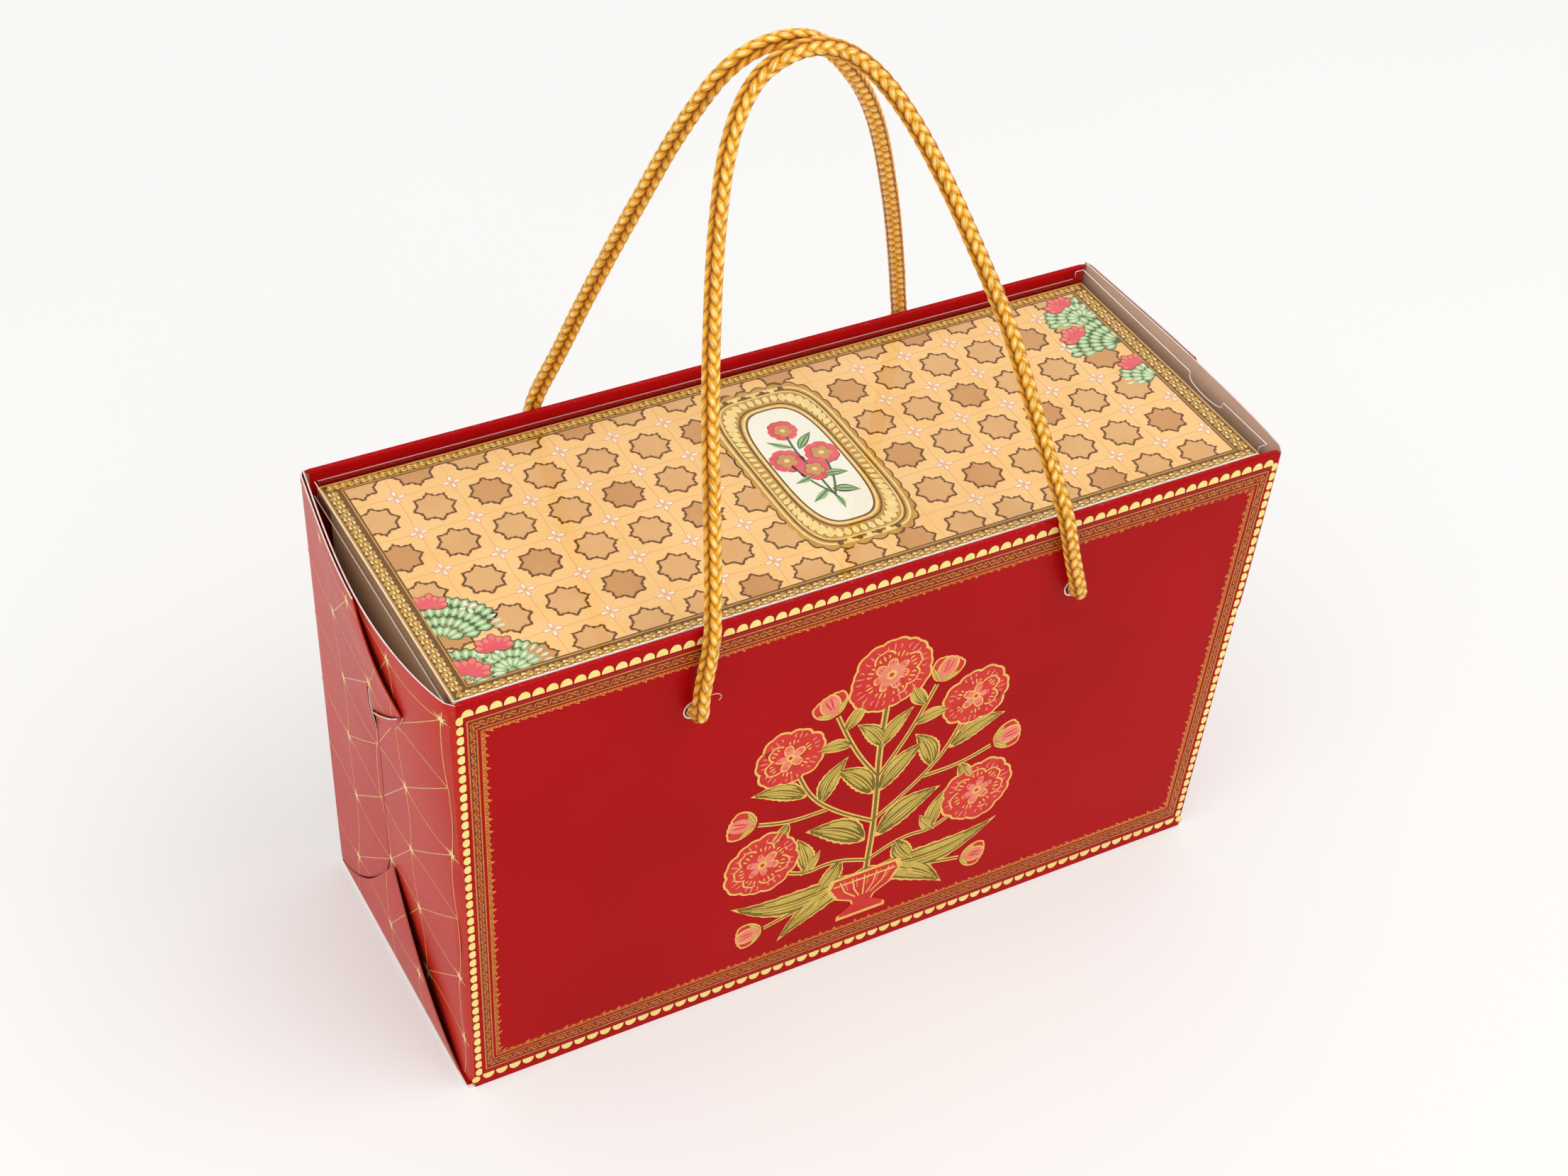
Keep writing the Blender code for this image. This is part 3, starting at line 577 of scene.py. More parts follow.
def clipped(points, box):
    """A polygon cut to a rectangle (low u, low v, high u, high v)."""
    for axis, bound, sign in ((0, box[0], 1), (1, box[1], 1), (0, box[2], -1), (1, box[3], -1)):
        kept = []
        for p, q in sides(points):
            inside_p, inside_q = (p[axis] - bound) * sign >= 0, (q[axis] - bound) * sign >= 0
            if inside_p:
                kept.append(p)
            if inside_p != inside_q:
                t = (bound - p[axis]) / (q[axis] - p[axis])
                kept.append((p[0] + (q[0] - p[0]) * t, p[1] + (q[1] - p[1]) * t))
        points = kept
    return points


def rounded(points, rounds=2):
    """A polyline with its corners cut softly, its ends kept."""
    for _ in range(rounds):
        soft = [points[0]]
        for (ax, ay), (bx, by) in zip(points, points[1:]):
            soft += [(ax * t + bx * (1 - t), ay * t + by * (1 - t)) for t in (0.75, 0.25)]
        points = soft + [points[-1]]
    return points


def ribbon(along, across):
    """A closed outline from (share along, half width) pairs, the same on both sides."""
    return [across(t, w) for t, w in along] + [across(t, -w) for t, w in reversed(along[1:-1])]


class Print:
    """Foil and ink on one face, as thin raised shapes. Sizes in it are in millimetres."""
    STEP, SUNK, HAIR, HAIRS = 0.028, 0.01, 0.002, 12

    def __init__(self, name, place):
        self.name, self.place = name, place
        self.verts, self.faces, self.slots, self.materials = [], [], [], []
        self.laid = 0

    def height(self, level):
        """Each shape lies a hair above the last of its level, so that none shares a plane with another."""
        self.laid += 1
        return level * self.STEP + self.laid % self.HAIRS * self.HAIR

    def put(self, u, v, h):
        self.verts.append(self.place(u * MM, v * MM, h * MM))

    def close(self, finish, faces):
        if finish not in self.materials:
            self.materials.append(finish)
        self.faces += faces
        self.slots += [self.materials.index(finish)] * len(faces)

    def shape(self, finish, points, level=1, box=None):
        """A filled outline."""
        points = clipped(points, box) if box else points
        if len(points) < 3:
            return
        area = sum(a[0] * b[1] - b[0] * a[1] for a, b in sides(points))
        points = points if area > 0 else points[::-1]
        first, count = len(self.verts), len(points)
        for h in (self.height(level), -self.SUNK):
            for u, v in points:
                self.put(u, v, h)
        top = list(range(first, first + count))
        faces = [tuple(top), tuple(i + count for i in reversed(top))]
        self.close(finish, faces + [(i, i + count, j + count, j) for i, j in sides(top)])

    def line(self, finish, points, width, level=1, closed=False, taper=0.0):
        """A line of one width, or one that thins towards its ends by taper."""
        count = len(points)
        first, high = len(self.verts), self.height(level)
        for i, (u, v) in enumerate(points):
            before = points[(i - 1) % count] if closed or i else points[i]
            after = points[(i + 1) % count] if closed or i < count - 1 else points[i]
            du, dv = after[0] - before[0], after[1] - before[1]
            length = hypot(du, dv) or 1.0
            half = width / 2 * (1 - taper * abs(2 * i / max(count - 1, 1) - 1) ** 2)
            nu, nv = -dv / length * half, du / length * half
            for way, h in ((-1, high), (1, high), (1, -self.SUNK), (-1, -self.SUNK)):
                self.put(u + way * nu, v + way * nv, h)
        faces = []
        for i in range(count if closed else count - 1):
            a, b = first + 4 * i, first + 4 * ((i + 1) % count)
            faces += [(a + k, b + k, b + (k + 1) % 4, a + (k + 1) % 4) for k in range(4)]
        if not closed:
            end = first + 4 * (count - 1)
            faces += [(first, first + 1, first + 2, first + 3), (end + 3, end + 2, end + 1, end)]
        self.close(finish, faces)

    def lines(self, finish, paths, width, level=1, taper=0.0):
        for path in paths:
            self.line(finish, path, width, level, taper=taper)

    def build(self, body, slot):
        made = piece(self.name, self.verts, self.faces, self.materials, self.slots, angle=20.0)
        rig.slot(made, slot)
        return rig.ride(made, body)


# Camera, at the photograph's viewing angle

def aim_camera():
    yaw, pitch, roll = (radians(a) for a in (31.636, 40.835, 4.866))
    ahead = Vector((sin(yaw) * cos(pitch), cos(yaw) * cos(pitch), -sin(pitch)))
    right = Vector((cos(yaw), -sin(yaw), 0))
    up = right.cross(ahead)
    across, upright = right * cos(roll) + up * sin(roll), up * cos(roll) - right * sin(roll)
    place = Matrix((across, upright, -ahead)).transposed().to_4x4()
    place.translation = Vector((-0.36463 + MIDDLE_X, -0.58572, 0.72227))
    data = bpy.data.cameras.new("camera")
    data.sensor_width, data.lens = 36.0, 60.53
    camera = added("camera", data)
    camera.matrix_world = place
    bpy.context.scene.camera = camera


aim_camera()

# Cord handles. The routes are the CAD's, in tenths of a millimetre: x along the box, y out, z up
ROUTE_UNITS = 10000
FRONT_ROUTE = (
    (-707, 614, 1496), (-707, 624, 1496), (-708, 640, 1500), (-709, 653, 1510), (-710, 662, 1527),
    (-712, 666, 1550), (-711, 665, 1600), (-702, 661, 1665), (-686, 654, 1750), (-676, 646, 1835),
    (-666, 620, 1920), (-648, 573, 2035), (-620, 490, 2240), (-592, 408, 2442), (-559, 328, 2639),
    (-517, 243, 2851), (-480, 182, 3001), (-433, 122, 3148), (-370, 73, 3271), (-286, 40, 3360),
    (-179, 34, 3408), (-72, 34, 3405), (30, 41, 3352), (120, 74, 3264), (210, 132, 3123),
    (303, 213, 2925), (389, 302, 2705), (467, 393, 2482), (521, 481, 2263), (572, 566, 2052),
    (612, 629, 1890), (633, 652, 1790), (654, 655, 1710), (675, 659, 1635), (695, 662, 1568),
    (709, 658, 1530), (718, 650, 1510), (723, 638, 1500), (725, 624, 1496), (725, 614, 1496),
)
BACK_ROUTE = (
    (-707, 614, 1496), (-707, 624, 1496), (-707, 640, 1500), (-707, 653, 1510), (-707, 662, 1527),
    (-707, 666, 1550), (-706, 665, 1600), (-703, 659, 1685), (-697, 652, 1780), (-682, 636, 1870),
    (-663, 602, 1965), (-638, 546, 2105), (-610, 464, 2305), (-576, 383, 2505), (-543, 310, 2685),
    (-509, 240, 2856), (-470, 167, 3040), (-426, 101, 3200), (-366, 50, 3334), (-282, 34, 3400),
    (-175, 34, 3416), (-80, 36, 3394), (6, 52, 3324), (90, 89, 3228), (178, 137, 3113),
    (266, 196, 2968), (350, 264, 2802), (430, 335, 2622), (510, 410, 2436), (590, 491, 2238),
    (666, 570, 2042), (722, 631, 1890), (746, 650, 1805), (753, 658, 1705), (749, 664, 1615),
    (741, 666, 1556), (733, 661, 1527), (728, 652, 1510), (726, 640, 1500), (725, 624, 1496),
    (725, 614, 1496),
)
KNOT_CORD, KNOT_PITCH = 0.00235, 0.0038
KNOT_BEHIND, KNOT_REACH, KNOT_SWING = 0.0051, 0.0024, 0.0017
TAIL_START, TAIL_END = 0.0075, 0.0124

# One plait of a braid, as shares of its pitch, of its column's width and of the braid's radius
PLAIT_LONG, PLAIT_WIDE, PLAIT_TAPER = 0.84, 0.54, 0.22
GROOVE, PLAIT_FOOT, PLAIT_RISE, PLAIT_TILT = 0.54, 0.56, 0.40, 0.13
FIBRE_ALONG, FIBRE_ACROSS = 160, 2600


def smooth_route(points, samples=10):
    """Points on one smooth curve through a route's own points."""
    points = np.array(points)
    ends = np.array([2 * points[0] - points[1], *points, 2 * points[-1] - points[-2]])
    route = []
    for before, start, end, after in zip(ends, ends[1:], ends[2:], ends[3:]):
        for t in np.arange(samples) / samples:
            route.append((2 * start + (end - before) * t + (2 * before - 5 * start + 4 * end - after) * t ** 2
                          + (3 * start - before - 3 * end + after) * t ** 3) / 2)
    return np.array([*route, points[-1]])


def measured(points):
    """How far along a line each of its points lies."""
    return np.concatenate([[0], np.cumsum(np.linalg.norm(np.diff(points, axis=0), axis=1))])


def evenly(route, step):
    """The same line with points every step along it, and its length."""
    along = measured(route)
    places = np.linspace(0, along[-1], max(8, round(along[-1] / step)) + 1)
    return np.stack([np.interp(places, along, route[:, i]) for i in range(3)], 1), along[-1]


def plaited(along, angle, radius, pitch, turn, columns=6):
    """A braid's height over its surface, as a share of its radius, and places along and across its yarns."""
    wide = 2 * pi / columns
    near_column = np.floor((angle + turn) / wide)
    long, half = PLAIT_LONG * pitch, PLAIT_WIDE * wide * radius
    height = np.full((len(along), angle.size), GROOVE)
    lays = np.zeros((*height.shape, 3))
    for column in (-1, 0, 1):
        c = near_column + column
        lean = np.where(c % 2 == 0, 1.0, -1.0)
        across = (angle + turn - (c + 0.5) * wide) * radius
        start = np.floor(along / pitch - 0.5 * (c % 2))
        for plait in (-1, 0, 1, 2):
            j = start + plait
            off = along - (j + 0.5 * (c % 2)) * pitch
            a = off * cos(PLAIT_LEAN) + across * lean * sin(PLAIT_LEAN)
            b = -off * sin(PLAIT_LEAN) * lean + across * cos(PLAIT_LEAN)
            shape = 1 - (a / long) ** 2 - (b / (half * (1 - PLAIT_TAPER * a / long))) ** 2
            crown = PLAIT_FOOT + PLAIT_RISE * np.sqrt(np.maximum(shape, 0)) - PLAIT_TILT * a / long
            rise = np.where(shape > 0, crown, 0)
            over = rise > height
            height = np.where(over, rise, height)
            code = np.stack([a * FIBRE_ALONG + j * 3.7, b * FIBRE_ACROSS + c * 5.1, c * 2.3 + j * 1.9], -1)
            lays = np.where(over[..., None], code, lays)
    return height, lays


def braided(name, route, radius, pitch=0.0044, around=64, step=0.00035, turn=0.0):
    """A round braid as one surface along a route: columns of plaits that lean left and right by turns."""
    line, length = evenly(route, step)
    ahead = np.gradient(line, axis=0)
    ahead /= np.linalg.norm(ahead, axis=1)[:, None]
    side = np.cross(ahead[0], (0.0, 0.0, 1.0) if abs(ahead[0][2]) < 0.9 else (0.0, 1.0, 0.0))
    rights = []
    for direction in ahead:
        side = side - direction * (side @ direction)
        side /= np.linalg.norm(side)
        rights.append(side)
    rights = np.array(rights)
    ups = np.cross(ahead, rights)
    angle = np.linspace(0, 2 * pi, around, endpoint=False)[None, :]
    height, lays = plaited(np.linspace(0, length, len(line))[:, None], angle, radius, pitch, turn)
    top, low = height.max(), height.min()
    relief, angle = (height - low) / (top - low), angle[..., None]
    out = np.cos(angle) * rights[:, None, :] + np.sin(angle) * ups[:, None, :]
    points = line[:, None, :] + (height * radius / top)[..., None] * out
    index = np.arange(height.size).reshape(height.shape)
    after = np.roll(index, -1, axis=1)
    quads = np.stack([index[:-1], after[:-1], after[1:], index[1:]], -1).reshape(-1, 4)
    mesh = bpy.data.meshes.new(name)
    mesh.from_pydata(points.reshape(-1, 3).tolist(), [],
                     [*quads.tolist(), tuple(index[0][::-1]), tuple(index[-1])])
    mesh.materials.append(CORD)
    for key, kind, field, values in (("relief", "FLOAT", "value", relief),
                                     ("lay", "FLOAT_VECTOR", "vector", lays)):
        mesh.attributes.new(key, kind, "POINT").data.foreach_set(field, values.astype(np.float32).ravel())
    mesh.shade_smooth()
    mesh.update()
    made = added(name, mesh)
    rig.slot(made, "gold_cord")
    return made, line, length


def knot(side, end):
    """The cord's end behind a hole: its stub through the board, a tight overhand knot and a cut tail."""
    name = f"{SIDE_NAMES[side]}_{END_NAMES[end]}_knot"
    x, face = MIDDLE_X + HOLE_SHIFT + end * HOLE_SPACING / 2, half_depth(HOLE_Z)
    middle = face - 2 * BOARD - KNOT_BEHIND
    places = [(x, side * face, HOLE_Z), (x, side * (face - 0.002), HOLE_Z)]
    for i in range(25):
        a = 2 * pi * i / 24 + 0.5
        places.append((x + KNOT_REACH * (sin(a) + 0.75 * sin(2 * a)), side * (middle + KNOT_SWING * sin(3 * a)),
                       HOLE_Z + KNOT_REACH * (cos(a) - 0.75 * cos(2 * a))))
    places += [(x, side * middle, HOLE_Z - down) for down in (TAIL_START, TAIL_END)]
    made, *_ = braided(name + "_braid", smooth_route(places, 4), KNOT_CORD, KNOT_PITCH, 36, 0.0004)
    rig.replaces(made, name)
    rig.ride(made, "carrier")
    return made


for side, route, turn in ((FRONT, FRONT_ROUTE, 0.4), (BACK, BACK_ROUTE, 1.1)):
    name = SIDE_NAMES[side]
    own = np.array(route) / ROUTE_UNITS * (1, side, 1) + (MIDDLE_X, 0, 0)
    handle, line, length = braided(name + "_handle_braid", smooth_route(own), CORD_DIAMETER / 2, turn=turn)
    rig.blend(handle, "carrier", name + "_handle", start=(MIDDLE_X, side * half_depth(HOLE_Z), HOLE_Z),
             end=(MIDDLE_X, side * half_depth(HOLE_Z), HOLE_Z + BLEND_RISE))
    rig.replaces(handle, name + "_handle_cord")
    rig.cord(handle, exit=tuple(own[0]), length=float(length), diameter=CORD_DIAMETER, far_end="object",
            stiffness="medium", lay="loose", path=[tuple(p) for p in line[::6]] + [tuple(line[-1])],
            with_pieces=[knot(side, LEFT), knot(side, RIGHT)])


# Carrier: sheets of board with folded rims and rounded upright corners, and how far apart their points lie
PANEL_STEP, WALL_STEP, LIP_STEP = 0.006, 0.0036, 0.0012


def on_panel(side):
    """Places for a panel seen from outside: u to the right of its middle, v up it, h out of it."""
    def place(u, v, h):
        out = BASE_DEPTH / 2 + v * sin(LEAN) + h * cos(LEAN)
        return (MIDDLE_X - side * u, side * out, v * cos(LEAN) - h * sin(LEAN))
    return place


def hole_places(side):
    return [-side * (HOLE_SHIFT + end * HOLE_SPACING / 2) for end in (LEFT, RIGHT)]


def panel_sheet(side):
    """The outer panel, the fold over its rim and the hem behind it, as one sheet."""
    face = on_panel(side)
    rim, arc = PANEL_HEIGHT - FOLD, pi * FOLD

    def place(u, v, h):
        if v <= rim:
            return face(u, v, h)
        if v < rim + arc:
            turn = (v - rim) / FOLD
            return face(u, rim + (FOLD + h) * sin(turn), (FOLD + h) * cos(turn) - FOLD)
        return face(u, 2 * rim + arc - v, -2 * FOLD - h)

    foot = 2 * rim + arc - (PANEL_HEIGHT - HEM_DEPTH)
    extra = (LAYER if side == BACK else 0) - CORNER
    widths = [(half_length(0) + extra, 0), (half_length(HEIGHT) + extra, rim),
              (half_length(HEIGHT) - HEM_ROOM, rim + arc), (half_length(HEIGHT - HEM_DEPTH) - HEM_ROOM, foot)]
    hole_v = PANEL_HEIGHT - HOLE_DROP
    holes = [circle((u, v), HOLE_RADIUS) for u in hole_places(side) for v in (hole_v, 2 * rim + arc - hole_v)]

    def wear(u, v):
        edge = half_length(min(v, HEIGHT)) + extra - abs(u)
        crease = 1 - min(abs(v - rim - arc / 2) / 0.0016, 1)
        return max(crease * 0.15, 0.3 * (1 - clamp(edge / 0.0008)))

    name = SIDE_NAMES[side]
    outline = widths + [(-u, v) for u, v in reversed(widths)]
    rows = [rim + arc * i / 8 for i in range(9)]
    made = board(f"carrier_{name}_sheet", [outline, *holes], place, "carrier", PANEL_STEP, rows, wear)
    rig.replaces(made, f"carrier_{name}_panel", f"{name}_top_hem")


def shares(pairs):
    return [(BASE_DEPTH / 2 * across, HEIGHT * up) for across, up in pairs]


def pressed(y, z):
    """How much the tongue below the hook is pressed towards the inner layer, from 0 to 1 at its edge."""
    edge = shares(THROAT[::-1])
    edge_y = float(np.interp(z, [p[1] for p in edge], [p[0] for p in edge]))
    return clamp(1 - (y - edge_y) / PRESS_WIDE) ** 2 * clamp((HEIGHT * TONGUE_TOP - z) / PRESS_REACH)


def tongue_lift(y, z):
    """The outer layer's free edge lifts, and the tongue below it is pressed in."""
    tip_y, tip_z = shares(FREE_EDGE)[1]
    across = max(half_depth(z) - y, 0) / (half_depth(z) - tip_y)
    free = FREE_EDGE_LIFT * across ** 2 * sin(pi * clamp((z - tip_z) / (HEIGHT - tip_z)))
    return free - PRESS * pressed(y, z)


def on_end(side, out, lift=None, corner=0):
    """Places for an end wall's layer: depth a, height z, h out of it, turned round the box's edge at corner."""
    def place(a, z, h):
        start = half_depth(z) - CORNER
        turn = (corner * a - start) / CORNER
        if not corner or turn <= 0:
            if lift is tongue_lift and h < 0:
                h *= 1 - THINNED * pressed(a, z)
            return (MIDDLE_X + side * (end_face(side, a, z) + out + (lift(a, z) if lift else 0) + h), a, z)
        turn = min(turn, pi / 2)
        bulge = end_face(side, corner * start, z) - half_length(z)
        x = half_length(z) + out - CORNER + (CORNER + bulge + h) * cos(turn)
        return (MIDDLE_X + side * x, corner * (start + (CORNER + h) * sin(turn)), z)
    return place


def corner_wear(corner):
    def wear(a, z):
        return 0.15 * max(0.0, 1 - max(half_depth(z) - corner * a - CORNER / 2, 0) / 0.0010)
    return wear


def hollow_edge(steps=14):
    """The curved edge of a base flap, from the back corner to its peak."""
    start = Vector((BASE_DEPTH / 2 - LAYER - 0.0003, LAYER))
    bend = Vector((BASE_DEPTH / 2 * FLAP_BEND, FLAP_BEND_HEIGHT))
    peak = Vector((BASE_DEPTH / 2 * FLAP_PEAK, FLAP_HEIGHT))
    return [tuple(start * (1 - t) ** 2 + bend * 2 * t * (1 - t) + peak * t ** 2)
            for t in (i / steps for i in range(steps + 1))]


def wrapped(z, extra=0.0):
    """A flap's corner at a height, with the board that goes round the box's upright edge."""
    return (half_depth(z + extra) - CORNER + CORNER_ARC, z + extra)


def back_flap_outline():
    corner = shares(THROAT)[-1][0]
    lower = [(y, z + FLAP_GAP) for y, z in reversed(hollow_edge()) if y > corner]
    edge = shares(FREE_EDGE) + rounded(shares(HOOK)) + rounded(shares(THROAT))
    return [wrapped(HEIGHT), *edge, *lower, wrapped(LAYER, FLAP_GAP)]


def front_flap_outline():
    (low_y, low_z), (high_y, high_z) = wrapped(LAYER), wrapped(HEIGHT)
    return [(-low_y, low_z), (half_depth(low_z) - LAYER, low_z), (half_depth(high_z) - LAYER, high_z),
            (-high_y, high_z)]


def outer_edge(y, z):
    """The rim's cut edge shows pale, the free edge keeps the print's red, the tongue's sides lie between."""
    if z > HEIGHT - SHEET:
        return CUT_SLOT
    return PRINTED_SLOT if z > HEIGHT * TONGUE_TOP else SEAM_SLOT


def flap_edge(y, z):
    return SEAM_SLOT


# Each layer's outline, distance out, lift, the corner that it turns round, body and kind of edge
LAYERS = {
    "front_flap": (front_flap_outline(), 0, None, FRONT, "carrier", None),
    "back_flap": (back_flap_outline(), LAYER, tongue_lift, BACK, "outer_flap", outer_edge),
    "base_flap": ([*hollow_edge(), (BASE_DEPTH / 2 * FLAP_FRONT, LAYER)], LAYER, flap_lift, 0, "lower_flap",
                  flap_edge),
}


def body_of(side, name):
    return name if name == "carrier" else f"{END_NAMES[side]}_{name}"


def end_sheets(side):
    for name, (outline, out, lift, corner, body, edge) in LAYERS.items():
        whole = f"{END_NAMES[side]}_{name}"
        wear = corner_wear(corner) if corner else None
        made = board(whole + "_sheet", [outline], on_end(side, out, lift, corner), body_of(side, body),
                     WALL_STEP, wear=wear, face=END_RED_LIT, thick=SHEET, edge=edge)
        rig.replaces(made, whole)


def slot_lip(side):
    """The lip of the slot that the hook is pushed into, which stands a little off the wall."""
    path = rounded(shares(HOOK[:5]))
    ys, zs = zip(*path)
    deep, proud, gap = 0.0056, 0.0021, 0.0003
    name = f"{END_NAMES[side]}_slot_lip"

    def rise(y, z):
        under = clamp((float(np.interp(y, ys, zs)) - gap - z) / deep)
        ends = min(1.0, (y - ys[0]) / 0.004, (ys[-1] - y) / 0.003)
        return proud * (1 - under) ** 1.6 * max(ends, 0.0) ** 0.5

    top = [(y, z - gap) for y, z in path]
    foot = [(y, z - gap - deep * sin(pi * (y - ys[0]) / (ys[-1] - ys[0])) ** 0.5) for y, z in path[1:-1]]
    place = on_end(side, 0.00006, rise)
    board(name, [top + foot[::-1]], place, "carrier", LIP_STEP, face=END_RED_LIT, thick=SHEET)
    edge = Print(name + "_edge", place)
    edge.line(WHITE_INK, [(y / MM, (z - gap) / MM - 0.30) for y, z in path[2:-1]], 0.8, 2, taper=0.5)
    edge.build("carrier", "red_board")


def base_lip(side):
    """The base board's cut edge, which shows under each end wall and is widest at the front corner."""
    depth = half_depth(0)
    wide = [(depth - 0.0006, 0.0012), (0.0, 0.0014), (0.0040 - depth, 0.0016), (0.0012 - depth, 0.0014),
            (0.0002 - depth, 0.0007)]
    inner, bottom, top = half_length(0) - 0.0006, 0.0001, 0.0008
    ring = [(half_length(0) + out, y) for y, out in wide] + [(inner, y) for y, _ in reversed(wide)]
    verts = [(MIDDLE_X + side * x, y, z) for z in (bottom, top) for x, y in ring]
    count = len(ring)
    low = list(range(count))
    faces = [tuple(low), tuple(i + count for i in reversed(low))]
    faces += [(i, j, j + count, i + count) for i, j in sides(low)]
    made = piece(f"{END_NAMES[side]}_base_lip", verts, faces, [WHITE_INK])
    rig.slot(made, "red_board")
    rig.ride(made, "carrier")


for side in (FRONT, BACK):
    panel_sheet(side)
for side in (LEFT, RIGHT):
    end_sheets(side)
    slot_lip(side)
    base_lip(side)


# Net of thin lines with a sparkle at each knot, printed on the end walls (millimetres)
NET_KNOTS = (
    ((-57, 175), (-27, 176), (1, 178), (33, 178)),
    ((-57.5, 146), (-25.5, 147), (-8, 150), (29, 149)),
    ((-56.6, 115), (-25.7, 118), (-2, 116), (27, 121)),
    ((-56.8, 85), (-22.5, 85), (3, 86), (31, 90)),
    ((-55, 54.5), (-23, 56.5), (2, 56), (31, 60.5)),
    ((-55, 23), (-24, 25), (4, 21), (37, 23)),
)
NET_EDGE, NET_STEP = 60, 1.5
SPARKLE_ARMS = ((0.25, 5.0), (1.25, 3.0), (1.75, 5.6), (2.6, 3.4),
                (3.35, 5.2), (4.3, 3.2), (4.85, 6.0), (5.8, 3.2))


def bowed(start, stop, bow):
    """A line from start to stop that stands off the straight by bow in its middle."""
    du, dv = stop[0] - start[0], stop[1] - start[1]
    length = hypot(du, dv)
    count = max(2, round(length / NET_STEP))
    line = []
    for t in (n / count for n in range(count + 1)):
        off = bow * 4 * t * (1 - t) / length
        line.append((start[0] + du * t - dv * off, start[1] + dv * t + du * off))
    return line


def net_lines():
    lines = []
    for j, row in enumerate(NET_KNOTS):
        for i, start in enumerate(row):
            ends = [row[i + 1] if i < len(row) - 1 else (NET_EDGE, start[1] + 2)]
            ends += NET_KNOTS[j + 1][i:i + 2] if j < len(NET_KNOTS) - 1 else [(start[0] + 2, 2)]
            way = 1 if (i + j) % 2 else -1
            lines += [(bowed(start, stop, bow * way), width)
                      for stop, bow, width in zip(ends, (1.6, -1.2, 0.0), (0.46, 0.46, 0.36))]
    return lines


def inner_runs(line, loop):
    """The stretches of a line that lie inside a loop."""
    runs = [[]]
    for point, kept in zip(line, inside(loop, np.array(line))):
        if kept:
            runs[-1].append(point)
        elif runs[-1]:
            runs.append([])
    return [run for run in runs if len(run) > 1]


def sparkle(art, knot_place, loop):
    points = []
    for k, (angle, reach) in enumerate(SPARKLE_ARMS):
        after = SPARKLE_ARMS[k + 1][0] if k < len(SPARKLE_ARMS) - 1 else SPARKLE_ARMS[0][0] + 2 * pi
        points += [polar(knot_place, reach * 0.74, angle), polar(knot_place, 0.8, (angle + after) / 2)]
    if inside(loop, np.array(points)).all():
        art.shape(SPARK, points, 2)


def end_print(side):
    for name, (outline, out, lift, _, body, _) in LAYERS.items():
        art = Print(f"{END_NAMES[side]}_{name}_print", on_end(side, out, lift))
        loop = [(y / MM * 0.988, z / MM) for y, z in outline]
        for line, width in net_lines():
            art.lines(NET, inner_runs(line, loop), width)
        for knot_place in (place for row in NET_KNOTS for place in row):
            sparkle(art, knot_place, loop)
        if name == "back_flap":
            # Painted shade: a dark line for the shadow in the slit at the tongue's root, with the board's pale cut
            # edge beside it
            root = [(-4.7, 128), (-4.3, 134), (-4.6, 139), (-5.2, 143), (-5.6, 146)]
            art.line(SLIT_SHADE, root, 1.0, 3, taper=0.4)
            art.line(WHITE_INK, [(u - 0.85, v) for u, v in root], 0.5, 3, taper=0.4)
        art.build(body_of(side, body), "red_board")


for side in (LEFT, RIGHT):
    end_print(side)


# Border and flowering sprig, printed on both panels (millimetres)

def bilinear(quad):
    """Places on a band by share along it and share across it, from its outer and inner edges."""
    (a, b), (c, d) = quad

    def at(s, t):
        return tuple((a[i] * (1 - s) + b[i] * s) * (1 - t) + (c[i] * (1 - s) + d[i] * s) * t for i in (0, 1))
    return at, dist(a, b)


def vine(art, at, length, pitch, low, high, stem_finish, leaf_finish, width):
    """A running stem that waves along a band, with a leaf and a bead in each bend."""
    count = round(length / pitch)
    middle, swing = (low + high) / 2, (high - low) / 2
    line = [at(i / (count * 8), middle + swing * 0.8 * sin(pi * i / 8)) for i in range(count * 8 + 1)]
    art.line(stem_finish, line, width, 2)
    for i in range(count):
        way = 1 if i % 2 == 0 else -1
        for turn, reach in ((0.30, 0.95), (0.62, 0.70)):
            s, t, wide = (i + turn) / count, middle - way * swing * 0.35, 0.30 / count
            tip = ((i + turn + 0.42) / count, middle - way * swing * reach)
            art.shape(leaf_finish, [at(s - wide * 0.5, t), at(s + wide, t - way * swing * 0.05), at(*tip),
                                    at(s + wide * 0.1, t - way * swing * 0.42)], 2)
        art.shape(leaf_finish, circle(at((i + 0.5) / count, middle + way * swing * 0.10), width * 0.62, 8), 2)


def ruled_band(art, quad):
    at, length = bilinear(quad)
    (a, b), (c, d) = quad
    art.shape(BAND, [a, b, d, c], 1)
    for t, width, finish in ((0.06, 0.5, GOLD), (0.19, 0.22, DARK_LINE), (0.80, 0.22, DARK_LINE),
                             (0.92, 0.42, GOLD)):
        art.line(finish, [at(t * 0.3 / length, t), at(1 - t * 0.3 / length, t)], width, 2)
    vine(art, at, length, 2.6, 0.25, 0.76, GOLD, GOLD, 0.36)


def fringe(art, quad, pitch=2.9):
    """A narrow lace edge with uneven teeth that point to the panel's middle."""
    at, length = bilinear(quad)
    count = round(length / pitch)
    outline = [at(0, 0), at(1, 0)]
    for i in reversed(range(count)):
        reach = (0.95, 0.72, 0.62, 1.0, 0.7)[i % 5]
        tooth = ((0.92, 0.45), (0.72, 0.52), (0.55, reach), (0.40, reach * 0.96), (0.24, 0.55), (0.08, 0.42))
        outline += [at((i + s) / count, t) for s, t in tooth]
    art.shape(GOLD, outline, 1)
    for i in range(count):
        art.line(BAND, [at((i + 0.12) / count, 0.12), at((i + 0.45) / count, 0.46)], 0.34, 2)
        art.line(BAND, [at((i + 0.62) / count, 0.10), at((i + 0.80) / count, 0.40)], 0.26, 2)


